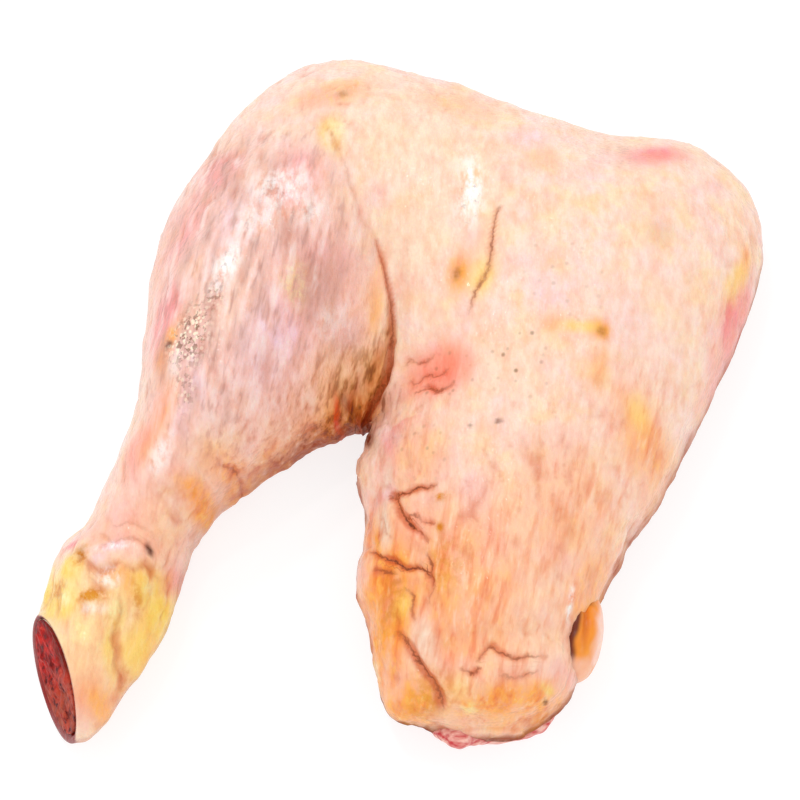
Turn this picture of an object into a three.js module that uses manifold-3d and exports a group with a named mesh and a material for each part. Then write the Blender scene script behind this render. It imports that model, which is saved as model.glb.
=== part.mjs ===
// A raw chicken leg quarter lying skin side up: drumstick and thigh in one piece, bent sharply at the knee.
// Millimetres, +Z up. The knee points along +Y, the drumstick lies on the -X side and the thigh on the +X side.
//
// The flesh is one lofted solid. Its sections are upright cuts along "ribs" that run from the inner edge of the
// leg (the side of the notch between the limbs) to its outer edge. The ribs climb the drumstick from the cut at
// the hock, fan round the notch across the knee, and go down the thigh to its cut end.
import * as THREE from "three";
import { mergeVertices } from "three/addons/utils/BufferGeometryUtils.js";
import Module from "manifold-3d";

// ---- Driving sizes, in millimetres ----

// The notch where the drumstick meets the thigh, on the inner side of the knee: a small arc in the outline.
const NOTCH = { x: -9.1, y: -8.2, radius: 1.8, rim: 12.5 };

// Ribs: [inner x, inner y, outer x, outer y, inner rim z, outer rim z, swell, lean].
// The rim is the height at which the flesh is widest. Swell is 1 where the flesh has its full depth and falls to
// nothing where it closes. Lean is how far the section's foot stands out for each millimetre of height.
const DRUMSTICK_RIBS = [
  [-63.6, -70.0, -72.2, -45.0, 10.0, 10.0, 0.96, 0.37], // the cut through the hock
  [-60.0, -68.0, -70.7, -40.0, 10.0, 10.0, 1.0, 0.2],
  [-53.2, -57.8, -69.4, -34.6, 10.0, 10.0, 1.0, 0.06],
  [-47.2, -48.0, -67.0, -29.4, 10.0, 10.0, 1.0, 0.0], // the end of the hock knuckle
  [-44.4, -38.6, -63.2, -25.6, 10.0, 10.0, 1.0, 0.0],
  [-41.6, -30.4, -60.4, -20.0, 10.5, 11.0, 1.0, 0.0], // the thinnest of the shank
  [-36.8, -24.2, -56.8, -13.6, 11.0, 12.5, 1.0, 0.0],
  [-29.8, -18.6, -53.8, -6.4, 12.0, 14.5, 1.0, 0.0],
  [-21.4, -12.8, -52.6, 2.2, 12.5, 16.5, 1.0, 0.0], // the calf swells
  [-14.4, -9.4, -52.0, 12.0, 13.0, 18.0, 1.0, 0.0],
];

// The knee's fan of ribs: [direction in degrees, reach from the fan's centre to the outer edge, outer rim z].
const FAN_CENTRE = { x: -7.4, y: -7.6 };
const KNEE_RIBS = [
  [148, 52.0, 18.5],
  [136, 57.6, 18.5],
  [124, 63.5, 18.0],
  [112, 71.4, 17.0],
  [102, 77.8, 16.0],
  [92, 79.2, 15.5], // the knee
  [80, 76.6, 15.0],
  [67, 75.2, 14.5],
  [57, 77.4, 14.0],
  [48, 83.6, 13.0],
  [41, 91.6, 12.0], // the flank
  [34, 93.6, 11.5],
  [27, 91.0, 11.0],
  [20, 84.0, 10.5],
];

const THIGH_RIBS = [
  [-8.4, -11.2, 66.6, 9.4, 12.5, 10.5, 1.0, 0.0],
  [-9.8, -17.6, 61.4, -2.0, 12.5, 10.5, 1.0, 0.0],
  [-7.8, -26.4, 54.6, -15.4, 12.5, 10.5, 1.0, 0.0],
  [-9.2, -37.0, 46.4, -28.4, 12.0, 10.5, 1.0, 0.0],
  [-7.9, -46.6, 39.8, -39.2, 11.5, 10.5, 1.0, 0.0],
  [-6.3, -55.6, 35.0, -50.2, 11.0, 10.5, 1.0, 0.0],
  [-4.4, -61.8, 33.6, -57.4, 10.5, 10.0, 0.97, 0.0],
  [-1.6, -64.8, 31.8, -61.8, 10.0, 9.5, 0.88, 0.0], // the thigh's cut end closes
  [3.0, -66.8, 28.4, -65.6, 9.0, 8.5, 0.66, 0.0],
  [8.8, -68.4, 23.2, -68.4, 8.0, 7.5, 0.36, 0.0],
];

// The muscles under the skin: domes seen from above as ellipses.
const MUSCLES = [
  { name: "calf", x: -31.5, y: 12, halfWidth: 32, halfLength: 52, turn: -18, crown: 42 },
  { name: "knee", x: -15, y: 45, halfWidth: 40, halfLength: 38, turn: -10, crown: 36 },
  { name: "shank", x: -49, y: -26, halfWidth: 19, halfLength: 38, turn: -30, crown: 24 },
  { name: "hock", x: -62, y: -50, halfWidth: 20, halfLength: 34, turn: -24, crown: 22 },
  { name: "thigh", x: 34, y: 8, halfWidth: 56, halfLength: 66, turn: -8, crown: 37 },
  { name: "thigh top", x: 22, y: 38, halfWidth: 50, halfLength: 44, turn: -14, crown: 33 },
  { name: "flank", x: 55, y: 32, halfWidth: 36, halfLength: 40, turn: 0, crown: 28 },
  { name: "rear", x: 14, y: -38, halfWidth: 40, halfLength: 54, turn: 8, crown: 31 },
];
const MUSCLE_BLEND = 7; // the power of the mean that joins the domes: higher leaves sharper valleys

// Folds in the skin: valleys along a path seen from above. Depth runs from the first to the second figure.
const FOLDS = [
  {
    name: "pit of the knee",
    path: [[-9, -8.2], [-4.8, 0], [-1.6, 9], [-1.4, 18], [-4.4, 29], [-9, 40]],
    depth: [9, 0.4],
    halfWidth: 3.6,
  },
  { name: "flank dip", path: [[46, 60], [42, 46], [36, 30]], depth: [4, 0.3], halfWidth: 9 },
  { name: "rear fold", path: [[1, -36], [5, -50], [9, -62], [12, -74]], depth: [1, 3], halfWidth: 3.5 },
  { name: "cross fold", path: [[9, -55], [20, -53.5], [32, -51]], depth: [2, 1.4], halfWidth: 3 },
  { name: "hock groove", path: [[-69, -29], [-58, -32], [-46, -38]], depth: [1.8, 0.8], halfWidth: 4 },
  { name: "heel groove", path: [[-59, -42], [-56, -56], [-57, -66]], depth: [0.8, 1.6], halfWidth: 3.5 },
];

// The lobe of fat that shows behind the skin at the thigh's rear corner.
const FAT_LOBE = { x: 33.4, y: -48.4, z: 11, halfWidth: 5.6, halfLength: 10.5, halfHeight: 9.4, turn: -10 };

// The shin bone: it runs from the cut at the hock up to the knee.
const BONE = {
  path: [[-67.8, -57.4, 10.2], [-62, -47, 10.6], [-52, -27, 10.6], [-38, -5, 15], [-27, 17, 18], [-19, 38, 18]],
  halfWidth: [11.6, 6.4, 4.2, 4.4, 5.4, 8.0],
  halfHeight: [8.4, 6.2, 4.2, 4.4, 5.0, 7.0],
};
const BONE_GAP = 0.3;
const BONE_STANDS_OUT = 0.8; // past the cut through the hock
const BORE_OVERSHOOT = 6; // the bone's channel is cut from well outside the flesh
const BONE_CROWDING = 1.4; // above 1, the bone's sections crowd together towards the cut
const BONE_END_ROUNDING = [0.9, 0.5]; // how much of its size each of the bone's last two sections keeps

// How square the sections are above and below the rim: 2 is an ellipse. The foot's edge has about the same
// rounding all along, so a longer section has a squarer foot.
const TOP_SQUARENESS = 2.2;
const FOOT_SQUARENESS = { shortest: 2.2, longest: 3.8 };
const SECTION_LENGTH = { shortest: 22, longest: 80 };
const LEAST_BULGE = 2; // the top of a section stands at least this far above its rim
const FOOT_PRESS = 1.6; // the soft underside would reach this far below the table, and is pressed flat on it

const SECTIONS = 96;
const SECTION_POINTS = 44;
const STEPS_PER_RIB = 40; // for measuring the outline
const INNER_WEIGHT = 0.35; // how much the inner edge counts when the sections are spaced evenly
const BONE_SECTIONS = 18;
const BONE_POINTS = 20;
const BONE_LOOK = 0.01; // how far ahead and back along the bone its direction is taken
const LOBE_POINTS = [20, 14];
const SAME_POINT = 1e-4; // points nearer than this are one

// ---- Small helpers ----

const degrees = Math.PI / 180;
const mix = (a, b, share) => a + (b - a) * share;
const signedPower = (value, power) => Math.sign(value) * Math.abs(value) ** power;

// A smooth curve through rows of numbers (Catmull-Rom), at a place from 0 to the number of the last row.
function along(rows, place) {
  const last = rows.length - 1;
  const i = Math.min(Math.floor(place), last - 1);
  const f = place - i;
  const row = (n) => rows[Math.max(0, Math.min(last, n))];
  const [a, b, c, d] = [row(i - 1), row(i), row(i + 1), row(i + 2)];
  return b.map(
    (_, k) =>
      b[k] +
      0.5 * f * (c[k] - a[k] + f * (2 * a[k] - 5 * b[k] + 4 * c[k] - d[k] + f * (3 * (b[k] - c[k]) + d[k] - a[k]))),
  );
}

// A closed solid through rings of points that all have the same length. Each end closes on its ring's middle.
function loft(rings) {
  const around = rings[0].length;
  const middle = (ring) => ring.reduce((sum, p) => sum.add(p), new THREE.Vector3()).divideScalar(around);
  const points = [...rings.flat(), middle(rings[0]), middle(rings.at(-1))];
  const [firstMiddle, lastMiddle] = [points.length - 2, points.length - 1];
  const triangles = [];
  for (let r = 0; r < rings.length - 1; r++) {
    for (let k = 0; k < around; k++) {
      const [a, b] = [r * around + k, r * around + ((k + 1) % around)];
      triangles.push(a, a + around, b, b, a + around, b + around);
    }
  }
  const lastRing = (rings.length - 1) * around;
  for (let k = 0; k < around; k++) {
    const next = (k + 1) % around;
    triangles.push(firstMiddle, k, next, lastMiddle, lastRing + next, lastRing + k);
  }
  const geometry = new THREE.BufferGeometry();
  geometry.setAttribute("position", new THREE.Float32BufferAttribute(points.flatMap((p) => p.toArray()), 3));
  geometry.setIndex(triangles);
  return geometry;
}

// ---- The flesh ----

const kneeRibs = KNEE_RIBS.map(([direction, reach, rim]) => {
  const [dx, dy] = [Math.cos(direction * degrees), Math.sin(direction * degrees)];
  const inner = [NOTCH.x + NOTCH.radius * dx, NOTCH.y + NOTCH.radius * dy];
  const outer = [FAN_CENTRE.x + reach * dx, FAN_CENTRE.y + reach * dy];
  return [...inner, ...outer, NOTCH.rim, rim, 1, 0];
});
const ribs = [...DRUMSTICK_RIBS, ...kneeRibs, ...THIGH_RIBS];

// The rib places that divide the leg into equal lengths, so that the sections are evenly spaced.
function evenPlaces(count) {
  const steps = STEPS_PER_RIB * ribs.length;
  const places = Array.from({ length: steps + 1 }, (_, i) => (i / steps) * (ribs.length - 1));
  const lengths = [0];
  places.slice(1).forEach((place, i) => {
    const [p, q] = [along(ribs, places[i]), along(ribs, place)];
    const outer = Math.hypot(q[2] - p[2], q[3] - p[3]);
    const inner = Math.hypot(q[0] - p[0], q[1] - p[1]);
    lengths.push(lengths[i] + mix(outer, inner, INNER_WEIGHT));
  });
  return Array.from({ length: count }, (_, n) => {
    const wanted = (n / (count - 1)) * lengths.at(-1);
    const i = Math.max(1, lengths.findIndex((length) => length >= wanted));
    return mix(places[i - 1], places[i], (wanted - lengths[i - 1]) / (lengths[i] - lengths[i - 1]));
  });
}

// How high a muscle's dome stands over a point of the table.
function domeHeight({ x, y, halfWidth, halfLength, turn, crown }, px, py) {
  const [c, s] = [Math.cos(turn * degrees), Math.sin(turn * degrees)];
  const across = ((px - x) * c + (py - y) * s) / halfWidth;
  const lengthways = ((py - y) * c - (px - x) * s) / halfLength;
  return crown * Math.sqrt(Math.max(0, 1 - across ** 2 - lengthways ** 2));
}

// How deep a fold's valley is at a point of the table.
function foldDepth({ path, depth, halfWidth }, px, py) {
  let nearest = Infinity;
  let deep = 0;
  for (let i = 0; i < path.length - 1; i++) {
    const [[ax, ay], [bx, by]] = [path[i], path[i + 1]];
    const share = ((px - ax) * (bx - ax) + (py - ay) * (by - ay)) / ((bx - ax) ** 2 + (by - ay) ** 2);
    const f = Math.max(0, Math.min(1, share));
    const distance = Math.hypot(px - mix(ax, bx, f), py - mix(ay, by, f));
    if (distance < nearest) {
      nearest = distance;
      deep = mix(depth[0], depth[1], (i + f) / (path.length - 1));
    }
  }
  return deep * Math.exp(-((nearest / halfWidth) ** 2));
}

// The height that the skin would have over a point of the table, if it never came down at the edges.
function crownHeight(px, py) {
  const domes = MUSCLES.map((muscle) => domeHeight(muscle, px, py) ** MUSCLE_BLEND);
  const top = domes.reduce((a, b) => a + b, 0) ** (1 / MUSCLE_BLEND);
  return top - FOLDS.reduce((sum, fold) => sum + foldDepth(fold, px, py), 0);
}

// The direction in which the cut at the hock faces, seen from above, and its lean.
const [cutInnerX, cutInnerY, cutOuterX, cutOuterY, , , , CUT_LEAN] = DRUMSTICK_RIBS[0];
const cutLength = Math.hypot(cutOuterX - cutInnerX, cutOuterY - cutInnerY);
const CUT_FACING = { x: (cutInnerY - cutOuterY) / cutLength, y: (cutOuterX - cutInnerX) / cutLength };

function footSquareness(length) {
  const share = (length - SECTION_LENGTH.shortest) / (SECTION_LENGTH.longest - SECTION_LENGTH.shortest);
  return mix(FOOT_SQUARENESS.shortest, FOOT_SQUARENESS.longest, Math.max(0, Math.min(1, share)));
}

// One point of the flesh's surface: place says how far along the ribs, angle how far round the section.
function fleshPoint(place, angle) {
  const [innerX, innerY, outerX, outerY, innerRim, outerRim, swell, lean] = along(ribs, place);
  const up = Math.sin(angle) >= 0;
  const power = 2 / (up ? TOP_SQUARENESS : footSquareness(Math.hypot(outerX - innerX, outerY - innerY)));
  const share = (1 - signedPower(Math.cos(angle), power)) / 2;
  const rise = Math.abs(Math.sin(angle)) ** power * swell;
  const [x, y] = [mix(innerX, outerX, share), mix(innerY, outerY, share)];
  const rim = mix(innerRim, outerRim, share);
  const z = up
    ? rim + (Math.max(crownHeight(x, y), rim + LEAST_BULGE) - rim) * rise
    : rim - (rim + FOOT_PRESS) * rise;
  const standsOut = (rim - z) * lean;
  return new THREE.Vector3(x + CUT_FACING.x * standsOut, y + CUT_FACING.y * standsOut, Math.max(0, z));
}

function fleshRings() {
  return evenPlaces(SECTIONS).map((place) =>
    Array.from({ length: SECTION_POINTS }, (_, k) => fleshPoint(place, (k / SECTION_POINTS) * 2 * Math.PI)),
  );
}

function fatLobe() {
  const { x, y, z, halfWidth, halfLength, halfHeight, turn } = FAT_LOBE;
  const lobe = new THREE.SphereGeometry(1, ...LOBE_POINTS);
  lobe.scale(halfWidth, halfLength, halfHeight);
  lobe.rotateZ(turn * degrees);
  lobe.translate(x, y, z);
  return lobe;
}

// ---- The bone ----

// Rings round the bone's path, grown by a clearance. The first ring lies in the plane of the cut.
function boneRings(clearance, overshoot) {
  const rows = BONE.path.map((p, i) => [...p, BONE.halfWidth[i], BONE.halfHeight[i]]);
  const last = rows.length - 1;
  const up = new THREE.Vector3(0, 0, 1);
  const inward = new THREE.Vector3(-CUT_FACING.x, -CUT_FACING.y, 0);
  const upTheCut = new THREE.Vector3(inward.x * CUT_LEAN, inward.y * CUT_LEAN, 1).normalize();
  return Array.from({ length: BONE_SECTIONS + 1 }, (_, n) => {
    const place = last * (n / BONE_SECTIONS) ** BONE_CROWDING;
    const [x, y, z, halfWidth, halfHeight] = along(rows, place);
    const [nextX, nextY, nextZ] = along(rows, Math.min(last, place + BONE_LOOK));
    const [backX, backY, backZ] = along(rows, Math.max(0, place - BONE_LOOK));
    const way = new THREE.Vector3(nextX - backX, nextY - backY, nextZ - backZ).normalize();
    const turned = Math.min(1, place); // the sections turn from the plane of the cut to square with the bone
    const facing = inward.clone().lerp(way, turned).normalize();
    const upward = upTheCut.clone().lerp(up, turned);
    const side = new THREE.Vector3().crossVectors(facing, upward).normalize();
    const kept = BONE_END_ROUNDING[n - BONE_SECTIONS + BONE_END_ROUNDING.length - 1] ?? 1;
    const centre = new THREE.Vector3(x, y, z).addScaledVector(inward, n === 0 ? -overshoot : 0);
    return Array.from({ length: BONE_POINTS }, (_, k) => {
      const angle = (k / BONE_POINTS) * 2 * Math.PI;
      return centre
        .clone()
        .addScaledVector(side, Math.cos(angle) * (halfWidth * kept + clearance))
        .addScaledVector(upward, Math.sin(angle) * (halfHeight * kept + clearance));
    });
  });
}

// ---- Solids and meshes ----

const wasm = await Module();
wasm.setup();

function toSolid(geometry) {
  geometry.deleteAttribute("normal");
  geometry.deleteAttribute("uv");
  const merged = mergeVertices(geometry, SAME_POINT);
  const vertProperties = merged.getAttribute("position").array;
  return new wasm.Manifold(new wasm.Mesh({ numProp: 3, vertProperties, triVerts: new Uint32Array(merged.index.array) }));
}

function toGeometry(solid) {
  const { vertProperties, triVerts } = solid.getMesh();
  const geometry = new THREE.BufferGeometry();
  geometry.setAttribute("position", new THREE.BufferAttribute(vertProperties, 3));
  geometry.setIndex(new THREE.BufferAttribute(triVerts, 1));
  return geometry;
}

const rawSkin = new THREE.MeshStandardMaterial({ color: 0xf3c3a3, roughness: 0.38, metalness: 0 });
const cutBone = new THREE.MeshStandardMaterial({ color: 0x8c2a25, roughness: 0.45, metalness: 0 });

const bore = toSolid(loft(boneRings(BONE_GAP, BORE_OVERSHOOT)));
const flesh = toSolid(loft(fleshRings())).add(toSolid(fatLobe())).subtract(bore);
const bone = toSolid(loft(boneRings(0, BONE_STANDS_OUT)));

// The origin is under the middle of the leg quarter, on the table.
const { min, max } = flesh.boundingBox();
const centring = [-(min[0] + max[0]) / 2, -(min[1] + max[1]) / 2, 0];

const legQuarter = new THREE.Group();
for (const [name, solid, material] of [
  ["leg_quarter", flesh, rawSkin],
  ["shin_bone", bone, cutBone],
]) {
  const mesh = new THREE.Mesh(toGeometry(solid), material);
  mesh.name = name;
  mesh.position.set(...centring);
  legQuarter.add(mesh);
}

export default legQuarter;
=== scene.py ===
# %% [markdown]
# # A raw chicken leg quarter
#
# Drumstick and thigh lie skin side up, bent sharply at the knee, with the foot cut off through the hock.
# The skin is thin, moist and stretched over soft muscle, so nearly everything that the eye reads is in
# three things: the plump muscles, the creases where the skin folds, and the colours of fat, blood and meat
# that show through.
#
# This lesson builds the leg as surfaces worked out with numpy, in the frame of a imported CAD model. The CAD
# solid is the same shape without its fine creases, so the first step is to load it and keep its size.

import bpy
import numpy as np
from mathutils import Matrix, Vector


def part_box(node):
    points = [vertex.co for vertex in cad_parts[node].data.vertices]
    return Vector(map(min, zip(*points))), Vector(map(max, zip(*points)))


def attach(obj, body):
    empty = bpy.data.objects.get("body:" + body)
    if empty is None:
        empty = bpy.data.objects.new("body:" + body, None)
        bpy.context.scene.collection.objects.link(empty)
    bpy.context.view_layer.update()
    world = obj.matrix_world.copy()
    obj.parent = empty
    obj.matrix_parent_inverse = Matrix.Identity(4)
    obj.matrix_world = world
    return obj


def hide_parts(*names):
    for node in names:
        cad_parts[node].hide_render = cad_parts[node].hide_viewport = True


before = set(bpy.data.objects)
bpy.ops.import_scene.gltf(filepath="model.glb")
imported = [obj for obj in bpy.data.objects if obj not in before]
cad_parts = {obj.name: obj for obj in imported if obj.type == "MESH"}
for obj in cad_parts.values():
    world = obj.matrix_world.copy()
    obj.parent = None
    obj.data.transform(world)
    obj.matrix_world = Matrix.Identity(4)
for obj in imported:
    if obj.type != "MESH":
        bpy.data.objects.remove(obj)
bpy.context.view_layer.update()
MM = 0.001

# %% [markdown]
# ## The ribs
#
# A leg quarter is a bent form, so it can't be turned on a lathe or cut from a block. It could be sculpted,
# but then nobody could change its size. Here it is lofted: imagine upright slices through the leg, each
# standing on a line from the inner edge of the bend to the outer edge. These lines are the ribs. They climb
# the drumstick from the cut, fan round the notch between the limbs, and go down the thigh. All sizes are
# real ones in millimetres.

# %% The ribs of the drumstick, the knee and the thigh
NOTCH = dict(x=-9.1, y=-8.2, radius=1.8, rim=12.5)

# inner x, inner y, outer x, outer y, inner rim height, outer rim height, swell, lean
DRUMSTICK_RIBS = [
    [-63.6, -70.0, -72.2, -45.0, 10.0, 10.0, 0.96, 0.37],  # the cut through the hock
    [-60.0, -68.0, -70.7, -40.0, 10.0, 10.0, 1.0, 0.2],
    [-53.2, -57.8, -69.4, -34.6, 10.0, 10.0, 1.0, 0.06],
    [-47.2, -48.0, -67.0, -29.4, 10.0, 10.0, 1.0, 0.0],  # the end of the hock knuckle
    [-44.4, -38.6, -63.2, -25.6, 10.0, 10.0, 1.0, 0.0],
    [-41.6, -30.4, -60.4, -20.0, 10.5, 11.0, 1.0, 0.0],  # the thinnest of the shank
    [-36.8, -24.2, -56.8, -13.6, 11.0, 12.5, 1.0, 0.0],
    [-29.8, -18.6, -53.8, -6.4, 12.0, 14.5, 1.0, 0.0],
    [-21.4, -12.8, -52.6, 2.2, 12.5, 16.5, 1.0, 0.0],  # the calf swells
    [-14.4, -9.4, -52.0, 12.0, 13.0, 18.0, 1.0, 0.0],
]
# direction in degrees, reach from the fan's centre to the outer edge, outer rim height
KNEE_RIBS = [
    [148, 52.0, 18.5],
    [136, 57.6, 18.5],
    [124, 63.5, 18.0],
    [112, 71.4, 17.0],
    [102, 77.8, 16.0],
    [92, 79.2, 15.5],  # the knee
    [80, 76.6, 15.0],
    [67, 75.2, 14.5],
    [57, 77.4, 14.0],
    [48, 83.6, 13.0],
    [41, 91.6, 12.0],  # the flank
    [34, 93.6, 11.5],
    [27, 91.0, 11.0],
    [20, 84.0, 10.5],
]
FAN_CENTRE = dict(x=-7.4, y=-7.6)
THIGH_RIBS = [
    [-8.4, -11.2, 66.6, 9.4, 12.5, 10.5, 1.0, 0.0],
    [-9.8, -17.6, 61.4, -2.0, 12.5, 10.5, 1.0, 0.0],
    [-7.8, -26.4, 54.6, -15.4, 12.5, 10.5, 1.0, 0.0],
    [-9.2, -37.0, 46.4, -28.4, 12.0, 10.5, 1.0, 0.0],
    [-7.9, -46.6, 39.8, -39.2, 11.5, 10.5, 1.0, 0.0],
    [-6.3, -55.6, 35.0, -50.2, 11.0, 10.5, 1.0, 0.0],
    [-4.4, -61.8, 33.6, -57.4, 10.5, 10.0, 0.97, 0.0],
    [-1.6, -64.8, 31.8, -61.8, 10.0, 9.5, 0.88, 0.0],  # the thigh's cut end closes
    [3.0, -66.8, 28.4, -65.6, 9.0, 8.5, 0.66, 0.0],
    [8.8, -68.4, 23.2, -68.4, 8.0, 7.5, 0.36, 0.0],
]

knee = np.array(KNEE_RIBS)
knee_way = np.stack([np.cos(np.radians(knee[:, 0])), np.sin(np.radians(knee[:, 0]))], axis=1)
knee_inner = [NOTCH["x"], NOTCH["y"]] + NOTCH["radius"] * knee_way
knee_outer = [FAN_CENTRE["x"], FAN_CENTRE["y"]] + knee[:, 1:2] * knee_way
knee_rims = np.stack([np.full(len(knee), NOTCH["rim"]), knee[:, 2]], axis=1)
knee_rows = np.hstack([knee_inner, knee_outer, knee_rims, np.ones((len(knee), 1)), np.zeros((len(knee), 1))])
RIBS = np.vstack([DRUMSTICK_RIBS, knee_rows, THIGH_RIBS])
print("ribs:", len(RIBS))

# %% [markdown]
# ## Between the ribs
#
# A smooth curve through the rows of a table gives a rib at any place between two of them. The slices should
# be evenly spaced over the skin, and not by rib number, so their places come from the length of the leg's
# edges.


# %% A smooth curve through rows, and evenly spaced places on it
def mix(a, b, share):
    """The value that lies this share of the way from a to b."""
    return a + (b - a) * share


def smooth_step(low, high, value):
    """0 below low, 1 above high, and 3t^2 - 2t^3 between, where t is the share of the way."""
    t = np.clip((value - low) / (high - low), 0, 1)
    return t * t * (3 - 2 * t)


def along(rows, places):
    """Catmull-Rom through rows of numbers: between rows b and c the value is a cubic of the share of the
    way, whose slope at b is half of c - a, and at c half of d - b. Places run from 0 to the number of the
    last row."""
    rows = np.asarray(rows, float)
    last = len(rows) - 1
    i = np.minimum(np.floor(places).astype(int), last - 1)
    f = (places - i)[..., None]
    a, b, c, d = (rows[np.clip(i + k, 0, last)] for k in (-1, 0, 1, 2))
    return b + 0.5 * f * (c - a + f * (2 * a - 5 * b + 4 * c - d + f * (3 * (b - c) + d - a)))


INNER_WEIGHT = 0.35  # how much the inner edge counts in the spacing
STEPS_PER_RIB = 40  # how finely the edges are measured


def even_places(count):
    """Places that cut the leg into equal lengths, where length is the mean of the outer and the inner
    edge's."""
    fine = np.linspace(0, len(RIBS) - 1, STEPS_PER_RIB * len(RIBS) + 1)
    step = np.diff(along(RIBS, fine), axis=0)
    length = mix(np.hypot(step[:, 2], step[:, 3]), np.hypot(step[:, 0], step[:, 1]), INNER_WEIGHT)
    length = np.concatenate([[0], np.cumsum(length)])
    return np.interp(np.linspace(0, length[-1], count), length, fine)


print("first and last rib's inner x:", along(RIBS, np.array([0.0, len(RIBS) - 1.0]))[:, 0])

# %% [markdown]
# ## Muscles and folds
#
# Under the skin lie a few plump muscles. Each one is a dome, seen from above as an ellipse. Where two domes
# meet the skin bridges the valley, which a mean with a high power does: it is nearly the higher dome, and a
# little more where both are equally high. The large folds are valleys along a path, with the profile of a
# bell curve.

# %% Domes, paths and the height of the skin over the table
# x, y, half width, half length, turn in degrees, crown height
MUSCLES = dict(
    calf=(-31.5, 12, 32, 52, -18, 42),
    knee=(-15, 45, 40, 38, -10, 36),
    shank=(-49, -26, 19, 38, -30, 24),
    hock=(-62, -50, 20, 34, -24, 22),
    thigh=(34, 8, 56, 66, -8, 37),
    thigh_top=(22, 38, 50, 44, -14, 33),
    flank=(55, 32, 36, 40, 0, 28),
    rear=(14, -38, 40, 54, 8, 31),
)
MUSCLE_BLEND = 7

# path, depth at its start and end, half width
FOLDS = dict(
    pit_of_the_knee=([(-9, -8.2), (-4.8, 0), (-1.6, 9), (-1.4, 18), (-4.4, 29), (-9, 40)], (3.2, 0.2), 1.8),
    flank_dip=([(46, 60), (42, 46), (36, 30)], (4, 0.3), 9),
    rear_fold=([(1, -36), (5, -50), (9, -62), (12, -74)], (1, 3), 3.5),
    cross_fold=([(9, -55), (20, -53.5), (32, -51)], (2, 1.4), 3),
    hock_groove=([(-69, -29), (-58, -32), (-46, -38)], (1.8, 0.8), 4),
    heel_groove=([(-59, -42), (-56, -56), (-57, -66)], (0.2, 0.8), 3.5),
)


def turned(x, y, centre_x, centre_y, turn):
    """The place of x, y from a centre, on axes that are turned by an angle in degrees: across and
    lengthways."""
    c, s = np.cos(np.radians(turn)), np.sin(np.radians(turn))
    return (x - centre_x) * c + (y - centre_y) * s, (y - centre_y) * c - (x - centre_x) * s


def near_path(x, y, path):
    """How far each point is from a path of straight pieces, the share of the path at which it is nearest,
    and its side: 1 to the left of the path's way and -1 to the right."""
    path = np.asarray(path, float)
    nearest = np.full(x.shape, np.inf)
    share, side = np.zeros(x.shape), np.ones(x.shape)
    for n, ((ax, ay), (bx, by)) in enumerate(zip(path[:-1], path[1:])):
        f = np.clip(((x - ax) * (bx - ax) + (y - ay) * (by - ay)) / ((bx - ax) ** 2 + (by - ay) ** 2), 0, 1)
        distance = np.hypot(x - mix(ax, bx, f), y - mix(ay, by, f))
        closer = distance < nearest
        nearest = np.where(closer, distance, nearest)
        share = np.where(closer, (n + f) / (len(path) - 1), share)
        side = np.where(closer, np.sign((bx - ax) * (y - ay) - (by - ay) * (x - ax)), side)
    return nearest, share, side


def crown_height(x, y):
    """The power mean of the muscles' domes, less every fold's valley. A dome is its crown times the root of
    1 - across^2 - lengthways^2, and a valley its depth times e to the minus (distance / half width)^2."""
    total = 0
    for centre_x, centre_y, half_width, half_length, turn, crown in MUSCLES.values():
        across, lengthways = turned(x, y, centre_x, centre_y, turn)
        bulge = np.clip(1 - (across / half_width) ** 2 - (lengthways / half_length) ** 2, 0, None)
        total = total + (crown * np.sqrt(bulge)) ** MUSCLE_BLEND
    height = total ** (1 / MUSCLE_BLEND)
    for path, depth, half_width in FOLDS.values():
        distance, share, _ = near_path(x, y, path)
        height = height - mix(depth[0], depth[1], share) * np.exp(-((distance / half_width) ** 2))
    return height


domes_x, domes_y = np.array([MUSCLES["calf"][:2], MUSCLES["thigh"][:2]], float).T
print("height over the calf and the thigh in mm:", crown_height(domes_x, domes_y).round(1))

# %% [markdown]
# ## One slice
#
# A slice is a superellipse, an ellipse whose power can be raised to make it squarer. It is widest at the
# rim. Above the rim it rises to the height of the muscles, below it the soft foot is pressed flat on the
# table. A long slice gets a squarer foot, because the rounding at the table is about the same everywhere.
# Slices near the cut lean, as the real leg does where the foot was cut off.

# %% The skin's surface over two parameters: place along the ribs, and angle round the slice
TOP_SQUARENESS = 2.2
FOOT_SQUARENESS = (2.2, 3.8)  # of the shortest and of the longest slice
SLICE_LENGTH = (22, 80)
FOOT_PRESS = 1.6  # the soft underside would reach this far below the table
LEAST_RISE = 2  # the top of a slice stands at least this far above its rim

cut_inner = RIBS[0, 0:2]
cut_outer = RIBS[0, 2:4]
cut_length = np.hypot(*(cut_outer - cut_inner))
CUT_FACING = np.array([cut_inner[1] - cut_outer[1], cut_outer[0] - cut_inner[0], 0]) / cut_length
CUT_LEAN = RIBS[0, 7]


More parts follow.
